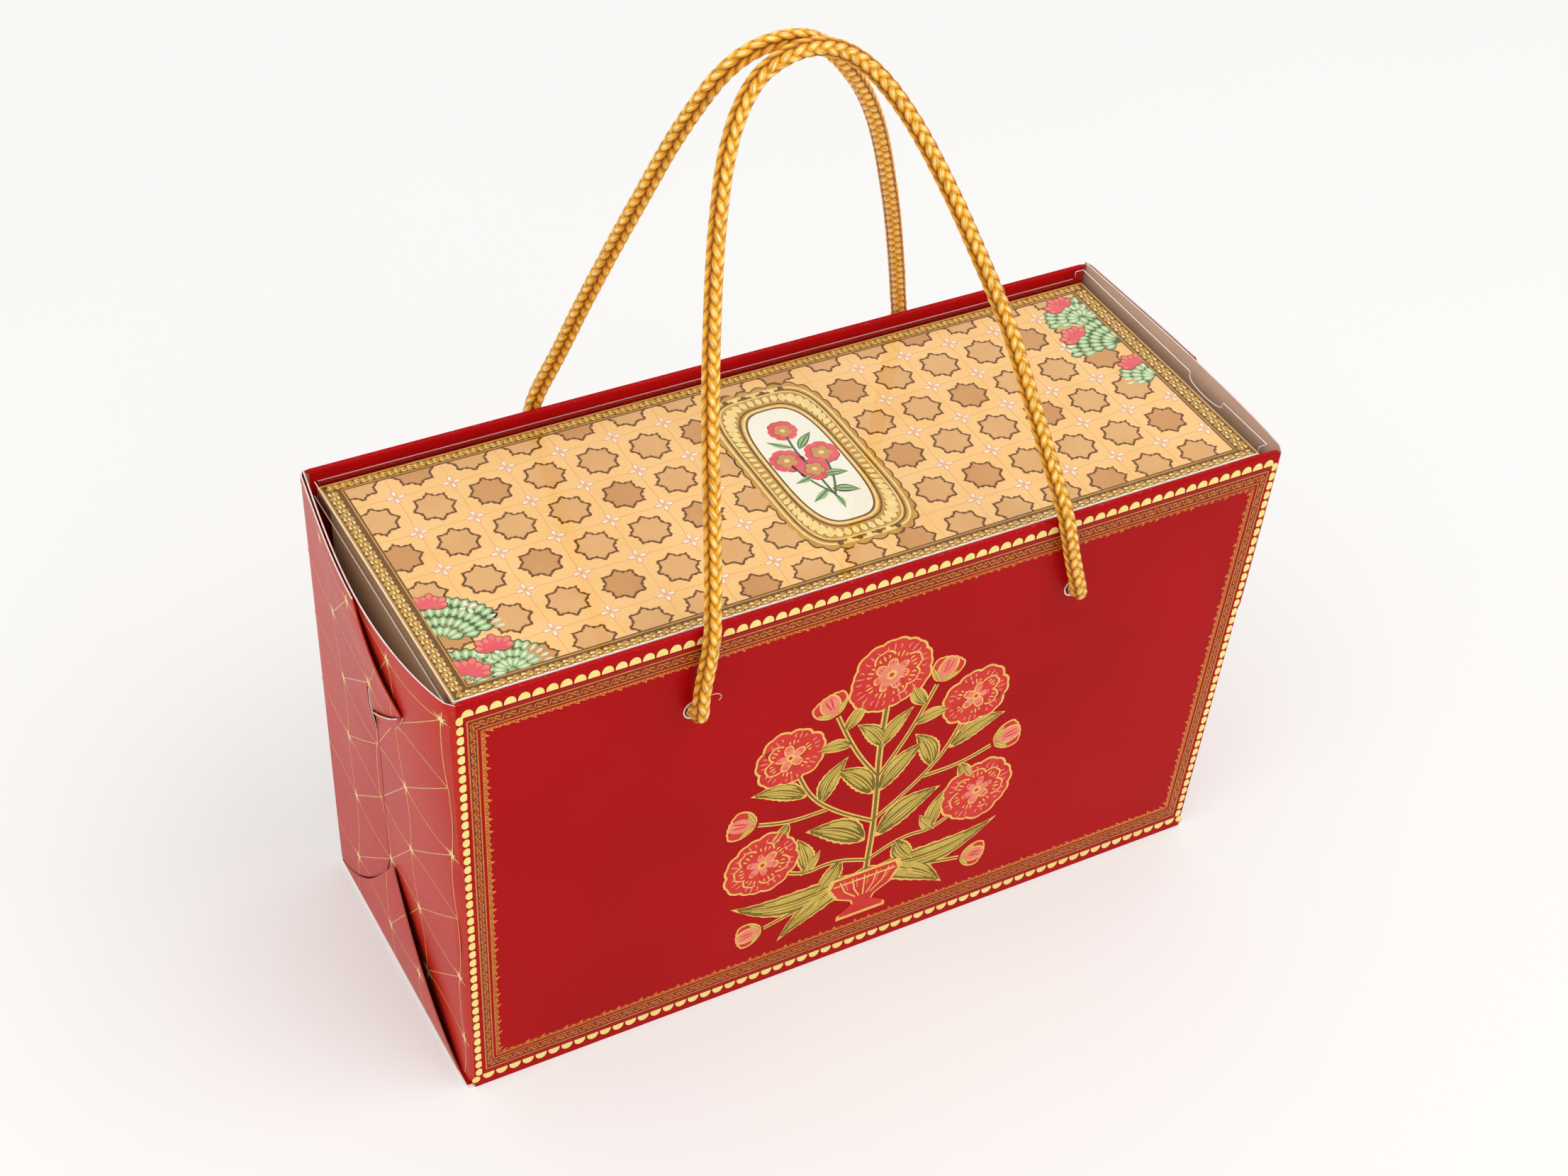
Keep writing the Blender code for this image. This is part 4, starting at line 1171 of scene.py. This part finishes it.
def half_moon(u, v, wide, tall):
    return [(u + wide * cos(pi * i / 14), v + tall * sin(pi * i / 14) ** 0.85) for i in range(15)]


def bead(outward, v, wide=1.35, tall=1.72):
    """A bead beside an upright edge of the panel, cut flat on its outer side."""
    u = outward * (144.7 + 0.0310 * (v - 7.3))
    turns = [2 * pi * i / 18 for i in range(18)]
    return [(u - outward * min(cos(a) * wide, wide * 0.72), v + tall * sin(a)) for a in turns]


def border(art):
    for i in range(65):
        art.shape(CREAM, half_moon(-147.5 + 294.6 * i / 64, 177.35, 2.02, 2.85), 1)
    for i in range(59):
        art.shape(CREAM, half_moon(-141.3 + 282.6 * i / 58, 5.4, 2.1, -2.75), 1)
    for outward in (-1, 1):
        for i in range(42):
            art.shape(CREAM, bead(outward, 7.3 + 169.0 * i / 41), 1)
        art.shape(CREAM, circle((outward * 145.9, 3.8), 1.5, 16), 1)
        band = (((142.3, 7.4), (147.9, 175.5)), ((139.3, 12.2), (144.3, 170.5)))
        teeth = (((138.5, 13.2), (143.3, 169.6)), ((135.9, 15.4), (140.5, 168.0)))
        for draw, quad in ((ruled_band, band), (fringe, teeth)):
            draw(art, [[(outward * u, v) for u, v in edge[::-outward]] for edge in quad])
    ruled_band(art, (((147.9, 175.5), (-147.9, 175.5)), ((144.3, 170.5), (-144.3, 170.5))))
    ruled_band(art, (((-142.3, 7.4), (142.3, 7.4)), ((-139.3, 12.2), (139.3, 12.2))))
    fringe(art, (((143.3, 169.9), (-143.3, 169.9)), ((140.5, 168.0), (-140.5, 168.0))))
    fringe(art, (((-138.5, 12.9), (138.5, 12.9)), ((-135.9, 15.4), (135.9, 15.4))))
    for v, half in ((176.3, 148.4), (6.4, 142.6)):
        art.line(DARK_LINE, [(-half, v), (half, v)], 0.35, 1)


def leaf(art, start, stop, wide, bend=0.0, finish=LEAF, light=LEAF_LIGHT, rim=OUTLINE, level=1, teeth=0.0):
    """A pointed leaf: a rim that may be toothed, a dark face, light streaks and a midrib."""
    (ax, ay), (bx, by) = start, stop
    length = hypot(bx - ax, by - ay)
    du, dv = (bx - ax) / length, (by - ay) / length

    def at(t, across):
        off = across * wide * sin(pi * t ** 0.8) + bend * 4 * t * (1 - t)
        return (ax + du * length * t - dv * off, ay + dv * length * t + du * off)

    inner = max(0.35, 1 - 1.5 / abs(wide))
    for ink, share, rise, low, high, saw in ((rim, 1.0, 0, 0.0, 1.0, teeth),
                                             (finish, inner, 1, 0.05, 0.95, teeth * 0.6)):
        along = [(low + (high - low) * (i / 24), share / 2 * (1 + saw * (i % 3) / 2)) for i in range(25)]
        art.shape(ink, ribbon(along, at), level + rise)
    for c, width, low, high in ((0.30, 0.16, 0.26, 0.72), (0.17, 0.11, 0.16, 0.82), (-0.14, 0.13, 0.16, 0.82),
                                (-0.29, 0.10, 0.26, 0.72)):
        streak = [at(low + (high - low) * k / 6, c) for k in range(7)]
        art.line(light, streak, max(0.35, abs(wide) * width), level + 2, taper=0.7)
    art.line(rim, [at(0.04 + 0.86 * k / 8, 0.0) for k in range(9)], 0.45, level + 3, taper=0.5)


def petal(art, centre, angle, reach, wide, finish, level, notch=0.12, box=None, rim=None, edge=0.7):
    """A rounded petal with a shallow notch in its tip."""
    def outline(grow):
        points = [(centre[0], centre[1])]
        for a in (radians(142) * (i / 10 - 1) for i in range(21)):
            dent = 1 - notch * exp(-(a / 0.28) ** 2)
            along, across = 0.58 * reach + (0.42 * reach + grow) * cos(a) * dent, (wide / 2 + grow) * sin(a)
            points.append(turned(centre, angle, along, across))
        return points

    if rim:
        art.shape(rim, outline(edge), level, box)
    art.shape(finish, outline(0), level + 1, box)


def spoke(centre, angle, low, high, bow=0.0, count=5):
    return [polar(centre, low + (high - low) * k / (count - 1), angle + bow * sin(pi * k / (count - 1)))
            for k in range(count)]


def flower(art, centre, reach, count=8, turn=0.0, level=2):
    """A full rose of three rings of rimmed petals, each with lighter streaks, round a gold eye."""
    rings = ((1.0, 0.74, PETAL, PETAL_LIGHT), (0.72, 0.56, PETAL, OUTLINE), (0.44, 0.40, PETAL_LIGHT, PETAL))
    for ring, (share, wide, finish, streak) in enumerate(rings):
        number = count - ring
        angles = [turn + 2 * pi * (i + 0.5 * ring) / number for i in range(number)]
        for i, angle in enumerate(angles):
            far = reach * share * (1 + 0.05 * sin(i * 2.3 + ring))
            petal(art, centre, angle, far, far * wide * 1.15, finish, level + ring, rim=OUTLINE,
                  edge=0.9 - 0.18 * ring)
        for angle in angles:
            for spread, low, high in ((0.0, 0.66, 0.90), (0.17, 0.70, 0.86), (-0.17, 0.72, 0.84)):
                line = spoke(centre, angle + spread, reach * share * low, reach * share * high, spread * 0.3)
                art.line(streak, line, 0.62 if ring < 2 else 0.4, level + ring + 2, taper=0.7)
    art.shape(OUTLINE, circle(centre, reach * 0.13, 14), level + 5)
    art.shape(PETAL, circle(centre, reach * 0.06, 10), level + 6)


def bud(art, centre, angle, reach):
    for spread, finish in ((0.42, PETAL), (-0.42, PETAL), (0.0, PETAL_LIGHT)):
        petal(art, centre, angle + spread, reach, reach * 0.6, finish, 2 if spread else 3, rim=OUTLINE)
    streaks = [spoke(centre, angle + spread, reach * 0.35, reach * 0.85) for spread in (0.12, -0.12)]
    art.lines(PETAL, streaks, 0.6, 5, taper=0.6)
    for sign in (1, -1):
        leaf(art, centre, polar(centre, reach * 0.75, angle + sign * 0.85), reach * 0.30, level=3)


def stem(art, points, width=1.0):
    line = rounded(points, 3)
    art.line(OUTLINE, line, width + 0.7, 1)
    art.line(LEAF, line, width * 0.6, 2)


# The sprig's right half: stems, leaves (start, stop, width, bend), roses (place, reach, petals, turn on each
# half), buds (place, angle, reach) and the bowl's side
STEMS = (((0, 46), (14, 52), (27, 50), (40, 60)), ((0, 66), (14, 76), (26, 88), (33, 104)),
         ((0, 88), (8, 100), (14, 112), (19, 124)), ((19, 80), (34, 80), (46, 84)),
         ((0, 42), (20, 34), (40, 29)))
LEAVES = (((2, 57), (27, 72), 11, 3.0), ((1, 80), (18, 98), 9, 2.5), ((11, 51), (21, 37), 8, -1.5),
          ((22, 84), (13, 103), 8, -2.0), ((28, 90), (50, 99), 8, 2.5), ((12, 108), (27, 110), 6, 1.5),
          ((24, 50), (30, 70), 7, 1.0), ((1, 102), (-11, 117), 7, -1.5), ((3, 38), (34, 19), 10, 3.5),
          ((6, 41), (54, 45), 11, -6.0), ((34, 80), (42, 69), 6, -1.0), ((16, 116), (9, 129), 6, 1.0),
          ((2, 40), (24, 27), 9, 2.0), ((27, 50), (20, 60), 5, 0.6))
ROSES = (((43, 63), 14.5, 8, (0.3, 2.84)), ((36, 112), 13.0, 7, (0.1, 3.04)))
BUDS = (((47, 85), 0.25, 11.0), ((20, 125), 1.15, 11.0), ((41, 29), -0.15, 10.0))
BOWL = ((14, 41), (15.5, 37), (11.5, 30), (5, 26.5), (4, 24), (10, 20), (10, 18))


def sprig(art, middle=3.0):
    """A flowering plant in a low footed bowl, the same on both halves."""
    stem(art, [(middle, 38), (middle + 1, 70), (middle - 1, 100), (middle, 126)], 2.0)
    for sign in (1, -1):
        def place(u, v, sign=sign):
            return (middle + sign * u, v)
        for path in STEMS:
            stem(art, [place(*p) for p in path], 1.2)
        for start, stop, wide, bend in LEAVES:
            leaf(art, place(*start), place(*stop), wide * sign, bend * sign, teeth=0.10 if wide > 6 else 0.0)
        for where, reach, count, turns in ROSES:
            flower(art, place(*where), reach, count, turns[sign < 0])
        for where, angle, reach in BUDS:
            bud(art, place(*where), angle if sign > 0 else pi - angle, reach)
    flower(art, (middle, 136), 16.0, 9, pi / 2)
    art.shape(OUTLINE, [(middle + u, v) for u, v in BOWL] + [(middle - u, v) for u, v in reversed(BOWL)], 4)
    small = [(middle + u * 0.88, 30 + (v - 30) * 0.88) for u, v in BOWL]
    art.shape(PETAL, small + [(2 * middle - u, v) for u, v in reversed(small)], 5)
    for k in range(-2, 3):
        dark = [(middle + k * 5.0, 38.5), (middle + k * 3.8, 32.5), (middle + k * 1.5, 28.2)]
        light = [(middle + k * 5.0 + 1.6, 38.5), (middle + k * 3.8 + 1.2, 33.0)]
        art.line(OUTLINE, dark, 0.6, 6)
        art.line(PETAL_LIGHT, light, 0.8, 6, taper=0.5)
    art.line(OUTLINE, [(middle - 12.6, 36.9), (middle + 12.6, 36.9)], 0.8, 7)


def hole_rings(art, side):
    for u in hole_places(side):
        ring = circle((u / MM, (PANEL_HEIGHT - HOLE_DROP) / MM), HOLE_RADIUS / MM + 0.28)
        art.line(WHITE_INK, ring, 0.5, 2, closed=True)


for side in (FRONT, BACK):
    panel_print = Print(f"carrier_{SIDE_NAMES[side]}_print", on_panel(side))
    border(panel_print)
    sprig(panel_print)
    hole_rings(panel_print, side)
    panel_print.build("carrier", "red_board")


# Star lattice, ruled border, medallion and corner plants, printed on the lid's card (millimetres)
FIELD = (-142.0, -48.8, 142.2, 53.2)
CARD = (-148.2, -54.9, 148.6, 57.3)
STAR_COLUMNS = range(-1, 14)
STAR_ROWS = (52.8, 33.4, 13.9, -5.9, -26.2, -46.0)
CROSS_ROWS = (42.7, 23.2, 3.6, -16.1, -36.4)
MEDALLION = (4.5, 4.0)


def on_card(u, v, h):
    return (MIDDLE_X + u, v, LID_TOP + h)


def star_column(k):
    return -118 + 19.602 * k - 0.0404 * k * k


def star(centre, reach, wobble, seed):
    """An eight-point star of two crossed squares, with hand-drawn edges."""
    corners = [polar(centre, reach if i % 2 == 0 else reach * 0.775, pi * i / 8) for i in range(16)]
    points = []
    for i, (p, q) in enumerate(sides(corners)):
        for t in (0.0, 0.34, 0.67):
            off = wobble * sin(seed * 3.1 + i * 2.7 + t * 9.0)
            x, y = p[0] + (q[0] - p[0]) * t, p[1] + (q[1] - p[1]) * t
            d = hypot(x - centre[0], y - centre[1])
            points.append((x + (x - centre[0]) / d * off, y + (y - centre[1]) / d * off))
    return points


def cross_petal(centre, turn, grow):
    """One of a small cross's four petals, fuller towards its tip."""
    points = []
    for a in (2 * pi * n / 10 for n in range(10)):
        along, across = 1.85 + (1.12 + grow) * cos(a), (0.52 + grow) * sin(a) * (1.1 + 0.25 * cos(a))
        points.append(turned(centre, turn, along, across))
    return points


def lattice(art):
    for j, v in enumerate(CROSS_ROWS):
        line = [(u, v + 0.007 * (u + 118) + 0.22 * sin(u * 0.31 + j)) for u in range(-142, 143, 4)]
        art.line(FAINT, line, 0.3, 1)
    for k in STAR_COLUMNS:
        u = star_column(k) - 9.8
        if FIELD[0] < u < FIELD[2]:
            art.line(FAINT, [(u + 0.2 * sin(v * 0.4 + k), v) for v in range(-48, 54, 4)], 0.28, 1)
    for k in STAR_COLUMNS:
        for j, row in enumerate(STAR_ROWS):
            centre = (star_column(k), row + 0.006 * (star_column(k) + 118))
            seed = k * 7 + j * 3
            art.shape(STAR_LINE, star(centre, 7.8, 0.30, seed), 1, FIELD)
            fill = STAR_DARK if (k * 5 + j * 3) % 7 < 2 else STAR_FILL
            art.shape(fill, star(centre, 6.65, 0.20, seed + 1.3), 2, FIELD)
        for j, row in enumerate(CROSS_ROWS):
            centre = (star_column(k) + 9.75, row + 0.007 * (star_column(k) + 128))
            if abs(centre[0] - MEDALLION[0]) < 26 and abs(centre[1] - MEDALLION[1]) < 46:
                continue
            for i in range(4):
                turn = pi / 2 * i + 0.06 * sin(k + j)
                art.shape(PINK_LINE, cross_petal(centre, turn, 0.32), 2, FIELD)
                art.shape(WHITE_INK, cross_petal(centre, turn, 0.0), 3, FIELD)


def corners_of(box, grow):
    """A rectangle's corners, each grow further out."""
    left, bottom, right, top = box[0] - grow, box[1] - grow, box[2] + grow, box[3] + grow
    return [(left, bottom), (right, bottom), (right, top), (left, top)]


def card_border(art):
    left, bottom, right, top = CARD
    (a, b, c, d), (e, f, g, h) = corners_of(CARD, 0), corners_of(FIELD, 0)
    for quad in ([a, e, h, d], [b, c, g, f], [a, b, f, e], [d, h, g, c]):
        art.shape(OLD_GOLD_DARK, quad, 1)
    for start, stop, inward, deep in (
            ((left + 1.5, bottom + 0.5), (right - 1.5, bottom + 0.5), (0, 1), 4.4),
            ((left + 1.5, top - 0.3), (right - 1.5, top - 0.3), (0, -1), 3.0),
            ((left + 0.5, bottom + 5), (left + 0.5, top - 4), (1, 0), 4.0),
            ((right - 0.5, bottom + 5), (right - 0.5, top - 4), (-1, 0), 5.0)):
        length = dist(start, stop)
        du, dv = (stop[0] - start[0]) / length, (stop[1] - start[1]) / length

        def at(s, t):
            return (start[0] + du * s * length + inward[0] * t * deep,
                    start[1] + dv * s * length + inward[1] * t * deep)

        vine(art, at, length, 2.3, 0.04, 0.96, OLD_GOLD, OLD_GOLD_LIGHT, 0.9)
    for box, grow, finish, width in ((FIELD, 0.35, OLD_GOLD, 0.5), (FIELD, -0.2, STAR_LINE, 0.5),
                                     (CARD, -0.2, OLD_GOLD, 0.42)):
        art.line(finish, dense(corners_of(box, grow), 6.0), width, 3, closed=True)


def oval(wide, tall, count, power):
    """The medallion's outline at one size, with its points the same way apart. A smaller power is squarer."""
    fine = []
    for a in (2 * pi * i / 720 for i in range(721)):
        c, s = cos(a), sin(a)
        fine.append((wide * copysign(abs(c) ** power, c), tall * copysign(abs(s) ** power, s)))
    fine = np.array(fine)
    along = measured(fine)
    return [tuple(MEDALLION[i] + float(np.interp(d, along, fine[:, i])) for i in (0, 1))
            for d in np.linspace(0, along[-1], count, endpoint=False)]


# The medallion's frame (width, height, squareness, finish, line width) and one of the lobes round it
FRAME_LINES = (
    (20.9, 41.4, 0.42, OLD_GOLD_LIGHT, 0.8), (19.6, 40.1, 0.42, OLD_GOLD_DARK, 0.6),
    (18.8, 39.3, 0.42, OLD_GOLD_LIGHT, 0.5), (13.6, 32.6, 0.62, OLD_GOLD_LIGHT, 0.9),
    (14.7, 33.9, 0.60, OLD_GOLD_DARK, 0.7), (12.7, 31.5, 0.62, OLD_GOLD_DARK, 0.6))
LOBE = [(0.0, 0.0), (0.25, 0.26), (0.6, 0.34), (0.85, 0.22), (1.0, 0.0)]
# The bunch in it: stems, leaves (start, stop, width) and flowers (place, reach)
BUNCH_STEMS = (((4.5, -18), (4, -6), (4.5, 4)), ((4.5, -14), (0, -4), (-2, 6)),
               ((4.5, -14), (9, -5), (11, 6)), ((4.5, -2), (3, 10), (4.5, 22)))
BUNCH_LEAVES = (((4, -10), (-4.5, -15), 4.0), ((5, -11), (13.5, -15), 4.0), ((3.5, -2), (-5.5, -4), 3.6),
                ((5.5, -3), (14.5, -5), 3.6), ((4, 13), (-4, 20), 3.4), ((5, 12), (13, 19), 3.4),
                ((4.5, -14), (4.0, -22), 3.0))
BUNCH_FLOWERS = (((-2.0, 8.0), 6.2), ((11, 7.5), 6.2), ((4.5, 0.5), 5.8), ((4.5, 23), 5.4))


def grown(points, across, up):
    u0, v0 = MEDALLION
    return [(u0 + (u - u0) * across, v0 + (v - v0) * up) for u, v in points]


def medallion(art):
    """An arched window with rounded ends in a scalloped gold frame, with a bunch of flowers in it."""
    scallops = []
    for i, point in enumerate(oval(22.0, 42.5, 200, 0.42)):
        grow = 1.0 + 0.035 * abs(sin(pi * i / 5))
        scallops += grown([point], grow, grow)
    art.shape(STAR_LINE, grown(scallops, 1.025, 1.014), 2)
    art.shape(OLD_GOLD, scallops, 3)
    for wide, tall, power, finish, width in FRAME_LINES:
        art.line(finish, oval(wide, tall, 128, power), width, 4, closed=True)
    for near, out in zip(oval(15.4, 34.8, 64, 0.58), oval(18.2, 38.6, 64, 0.45)):
        du, dv = out[0] - near[0], out[1] - near[1]
        for finish, grow, level in ((OLD_GOLD_DARK, 1.21, 4), (OLD_GOLD_LIGHT, 1.0, 5)):
            def at(t, w):
                return (near[0] + du * t - dv * w * grow, near[1] + dv * t + du * w * grow)
            art.shape(finish, ribbon(LOBE, at), level)
    for v in (-36.6, 44.6):
        for k in range(-3, 4):
            finish = OLD_GOLD_DARK if k % 2 else OLD_GOLD_LIGHT
            art.shape(finish, circle((MEDALLION[0] + k * 3.6, v), 1.1, 10), 5)
    art.shape(IVORY, oval(12.4, 31.2, 96, 0.62), 4)
    art.lines(GREEN_DARK, [rounded(path) for path in BUNCH_STEMS], 0.8, 5)
    for start, stop, wide in BUNCH_LEAVES:
        leaf(art, start, stop, wide, 0.4, GREEN, GREEN, GREEN_DARK, 4)
    for centre, reach in BUNCH_FLOWERS:
        art.shape(STAR_LINE, circle(centre, reach * 0.9, 18), 4)
        for i in range(6):
            petal(art, centre, pi / 3 * i + centre[1], reach, reach * 0.95, PINK, 4, rim=STAR_LINE, edge=0.35)
        for i in range(5):
            petal(art, centre, pi * 0.4 * i + centre[0], reach * 0.62, reach * 0.5, STAR_DARK, 5,
                  rim=STAR_LINE, edge=0.25)
        art.shape(OLD_GOLD_LIGHT, circle(centre, reach * 0.16, 10), 7)


def small_leaf(art, start, stop, wide, level, box):
    (ax, ay), (bx, by) = start, stop
    du, dv = bx - ax, by - ay
    length = hypot(du, dv)

    def at(t, w):
        return (ax + du * t - dv * w, ay + dv * t + du * w)

    for finish, share, low, high, rise in ((GREEN_DARK, 1.0, 0.0, 1.0, 0), (GREEN, 0.72, 0.06, 0.90, 1),
                                           (GREEN_LIGHT, 0.30, 0.20, 0.78, 2)):
        half = wide / length * share / 2
        along = [(low + (high - low) * i / 8, half * sin(pi * (i / 8) ** 1.25)) for i in range(9)]
        art.shape(finish, ribbon(along, at), level + rise, box)


def plant(art, centre, rows, spread, box):
    """A clump of overlapping leaves that point outwards, cut off by the field's edge."""
    art.shape(GREEN_DARK, [polar(centre, spread, pi * i / 24, 0.94) for i in range(25)], 1, box)
    for j in range(rows):
        reach = spread * (1 - 0.86 * j / rows) + 1.0
        number = max(4, round(pi * reach / 3.1))
        for i in range(number + 1):
            a = pi * (i + 0.5 * (j % 2)) / number
            small_leaf(art, polar(centre, max(reach - 6.0, 0.4), a, 0.94), polar(centre, reach, a, 0.94), 4.0,
                       min(1 + j, 3), box)


def pink_bloom(art, centre, reach, turn, box):
    """A half-open flower: a fan of narrow petals with pale tips."""
    for i in range(7):
        angle = turn + (i - 3) * 0.40
        far = reach * (1.0 if i % 2 else 0.86)
        petal(art, centre, angle, far, reach * 0.42, PINK, 5, 0.0, box, STAR_LINE, 0.28)
        tip = [polar(centre, far * r, angle + w)
               for r, w in ((0.98, 0), (0.86, 0.16), (0.62, 0.04), (0.62, -0.04), (0.86, -0.16))]
        art.shape(PETAL_LIGHT, tip, 7, box)


# The lid's planted corners: clumps (place, rows, spread) and blooms (place, reach, turn)
CORNERS = (
    ((((-142, -28), 4, 22), ((-127, -48), 3, 14), ((-142, -48.8), 3, 17)),
     (((-139, -12), 7, 1.2), ((-128, -38), 7.5, 1.4), ((-140, -45), 8, 1.0))),
    ((((142, 20), 4, 21), ((137, 38), 3, 14), ((142, -2), 3, 13)),
     (((134, 46), 7.5, 2.0), ((129, 28), 7.5, 2.1), ((139, 6), 7, 1.9))),
)


def corner_plants(art):
    for clumps, blooms in CORNERS:
        for centre, rows, spread in clumps:
            plant(art, centre, rows, spread, FIELD)
        for centre, reach, turn in blooms:
            pink_bloom(art, centre, reach, turn, FIELD)


card_print = Print("lid_print", on_card)
for draw in (lattice, card_border, medallion, corner_plants):
    draw(card_print)
card_print.build("lid", "printed_card")


# The clear cover's rims and the loose thread

def rod(name, line, radius, finish, slot, around=8):
    """A thin round line, such as the turned edge of a film."""
    points = [Vector(p) for p in line]
    count, verts = len(points), []
    for i, p in enumerate(points):
        ahead = (points[min(i + 1, count - 1)] - points[max(i - 1, 0)]).normalized()
        side = ahead.cross(Vector((0, 0, 1))).normalized()
        rise = side.cross(ahead)
        for a in (2 * pi * k / around for k in range(around)):
            verts.append(p + (side * cos(a) + rise * sin(a)) * radius)
    first, last = list(range(around)), (count - 1) * around
    faces = [(a + k, a + m, a + around + m, a + around + k)
             for a in range(0, last, around) for k, m in sides(first)]
    faces += [tuple(reversed(first)), tuple(range(last, last + around))]
    made = piece(name, verts, faces, [finish], angle=50)
    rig.slot(made, slot)
    return made


def cover_edges():
    """The clear cover's turned rims, as thin rods painted near-white for the highlight they catch, and a dim mauve at
    the back for the sheen over the red behind: low on three sides and tall at the right end.
    """
    low, high, off = 0.1792, 0.1822, 0.00055
    back, front, near = LID_BACK + off, LID_FRONT - off, LID_HALF + off
    left, right, step = MIDDLE_X - near, MIDDLE_X + near, MIDDLE_X + LID_HALF - 0.0027
    notch, deep, half = BASE_DEPTH / 2 * -0.344, 0.0041, 0.010
    dip = [(right, notch + half * cos(pi * i / 12), high - deep * sin(pi * i / 12) ** 0.5) for i in range(13)]
    foot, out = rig.box("clear_cover")[0], 0.0001
    for name, line, radius, finish in (
            ("front", [(step, front, low), (left, front, low)], 0.0003, FILM_EDGE_HIGHLIGHT),
            ("left", [(left, front, low), (left, back, low)], 0.00017, FILM_EDGE_HIGHLIGHT),
            ("back", [(left + 0.001, back, low), (step - 0.001, back, low)], 0.00016, FILM_DIM_SHEEN),
            ("tall", [(step, back, low), (step, back, high), (right, back, high), *dip, (right, front, high),
                      (step, front, high), (step, front, low)], 0.00015, FILM_EDGE_HIGHLIGHT),
            ("skirt", [(foot.x - out, front - out, foot.z + out), (foot.x - out, back + out, foot.z + out)],
             0.00016, FILM_EDGE_HIGHLIGHT)):
        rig.ride(rod(f"cover_{name}_rim", line, radius, finish, "clear_film"), "cover")


def loose_thread():
    """A stray yarn that curls out of the front handle just above its left hole."""
    x, y, z = (value / ROUTE_UNITS for value in FRONT_ROUTE[6])
    curl = [(0.0022, 0.0015, 0.0010), (0.0036, 0.0022, 0.0016), (0.0050, 0.0024, 0.0010),
            (0.0056, 0.0022, -0.0004), (0.0050, 0.0020, -0.0018)]
    line = smooth_route([(MIDDLE_X + x + du, -y - dv, z + dw) for du, dv, dw in curl], 6)
    made = rod("front_handle_thread", line, 0.00012, OLD_GOLD_LIGHT, "gold_cord", around=6)
    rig.blend(made, "carrier", "front_handle", start=(MIDDLE_X, -half_depth(HOLE_Z), HOLE_Z),
             end=(MIDDLE_X, -half_depth(HOLE_Z), HOLE_Z + BLEND_RISE))


cover_edges()
loose_thread()


# Nodes that stay as the CAD made them, with finer materials
INNER_PIECES = [name for name in frame["nodes"] if name.startswith("inner_") or name == "lid_frame"]
for names, finish in ((INNER_PIECES, BEIGE), (["printed_lid"], GROUND), (["clear_cover"], FILM),
                      (["carrier_base"], BASE)):
    for name in names:
        for slot in bpy.data.objects[name].material_slots:
            slot.material = finish


# Floor, lights and world
PAPER = hexa("#FBFAF8")


def to_camera(made, seen, real, share):
    """What the camera and mirrors see of a shader: share of a plain glow, the rest its real look."""
    path = node(made, "ShaderNodeLightPath")
    direct = maths(made, "MAXIMUM", path.outputs["Is Camera Ray"], path.outputs["Is Glossy Ray"])
    direct = maths(made, "MAXIMUM", direct, path.outputs["Is Transmission Ray"])
    glow = node(made, "ShaderNodeEmission", Color=seen, Strength=1.0).outputs[0]
    share = maths(made, "MULTIPLY", direct, share)
    set_surface(made, node(made, "ShaderNodeMixShader", i0=share, i1=real, i2=glow).outputs[0])


def floor(size=80.0):
    made = material("floor_paper", 0.85, 0.2)
    cloud = noise(made, place_of(made), 3.0)
    set_input(made, "Base Color", mixed(made, cloud, hexa("#F2F1EF"), hexa("#F5F5F3")))
    far = node(made, "ShaderNodeVectorMath", operation="LENGTH", i0=place_of(made)).outputs["Value"]
    to_camera(made, PAPER, made.node_tree.nodes["Principled BSDF"].outputs[0],
              remap(made, far, 0.2, 2.0, 0.30, 1.0))
    mesh = bpy.data.meshes.new("floor")
    corners = [(x * size, y * size, 0) for x, y in ((-1, -1), (1, -1), (1, 1), (-1, 1))]
    mesh.from_pydata(corners, [], [(0, 1, 2, 3)])
    mesh.materials.append(made)
    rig.stage(added("floor", mesh))


def lamp(name, place, target, size, power):
    data = bpy.data.lights.new(name, "AREA")
    data.shape, data.size, data.energy = "DISK", size, power
    made = added(name, data)
    made.location = place
    made.rotation_euler = (Vector(target) - Vector(place)).to_track_quat("-Z", "Y").to_euler()


def world():
    made = bpy.data.worlds.new("studio")
    made.use_nodes = True
    plain = made.node_tree.nodes["Background"]
    plain.inputs["Color"].default_value = WHITE
    plain.inputs["Strength"].default_value = 0.8
    seen = node(made, "ShaderNodeBackground", Color=PAPER, Strength=1.0)
    path = node(made, "ShaderNodeLightPath")
    mix = node(made, "ShaderNodeMixShader", i0=path.outputs["Is Camera Ray"], i1=plain.outputs[0],
               i2=seen.outputs[0])
    set_surface(made, mix.outputs[0], "World Output")
    bpy.context.scene.world = made


floor()
world()
lamp("key", (0.55, -0.75, 1.8), (0, 0, 0.1), 1.4, 12.0)
lamp("left_fill", (-1.05, -0.35, 1.55), (0, 0, 0.1), 1.2, 5.0)
bpy.context.scene.view_settings.view_transform = "Standard"

with open("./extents.json", "w") as out_file:
    json.dump({"cad": [list(v) for v in CAD_BOX], "visual": [list(v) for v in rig.bounds()]}, out_file)
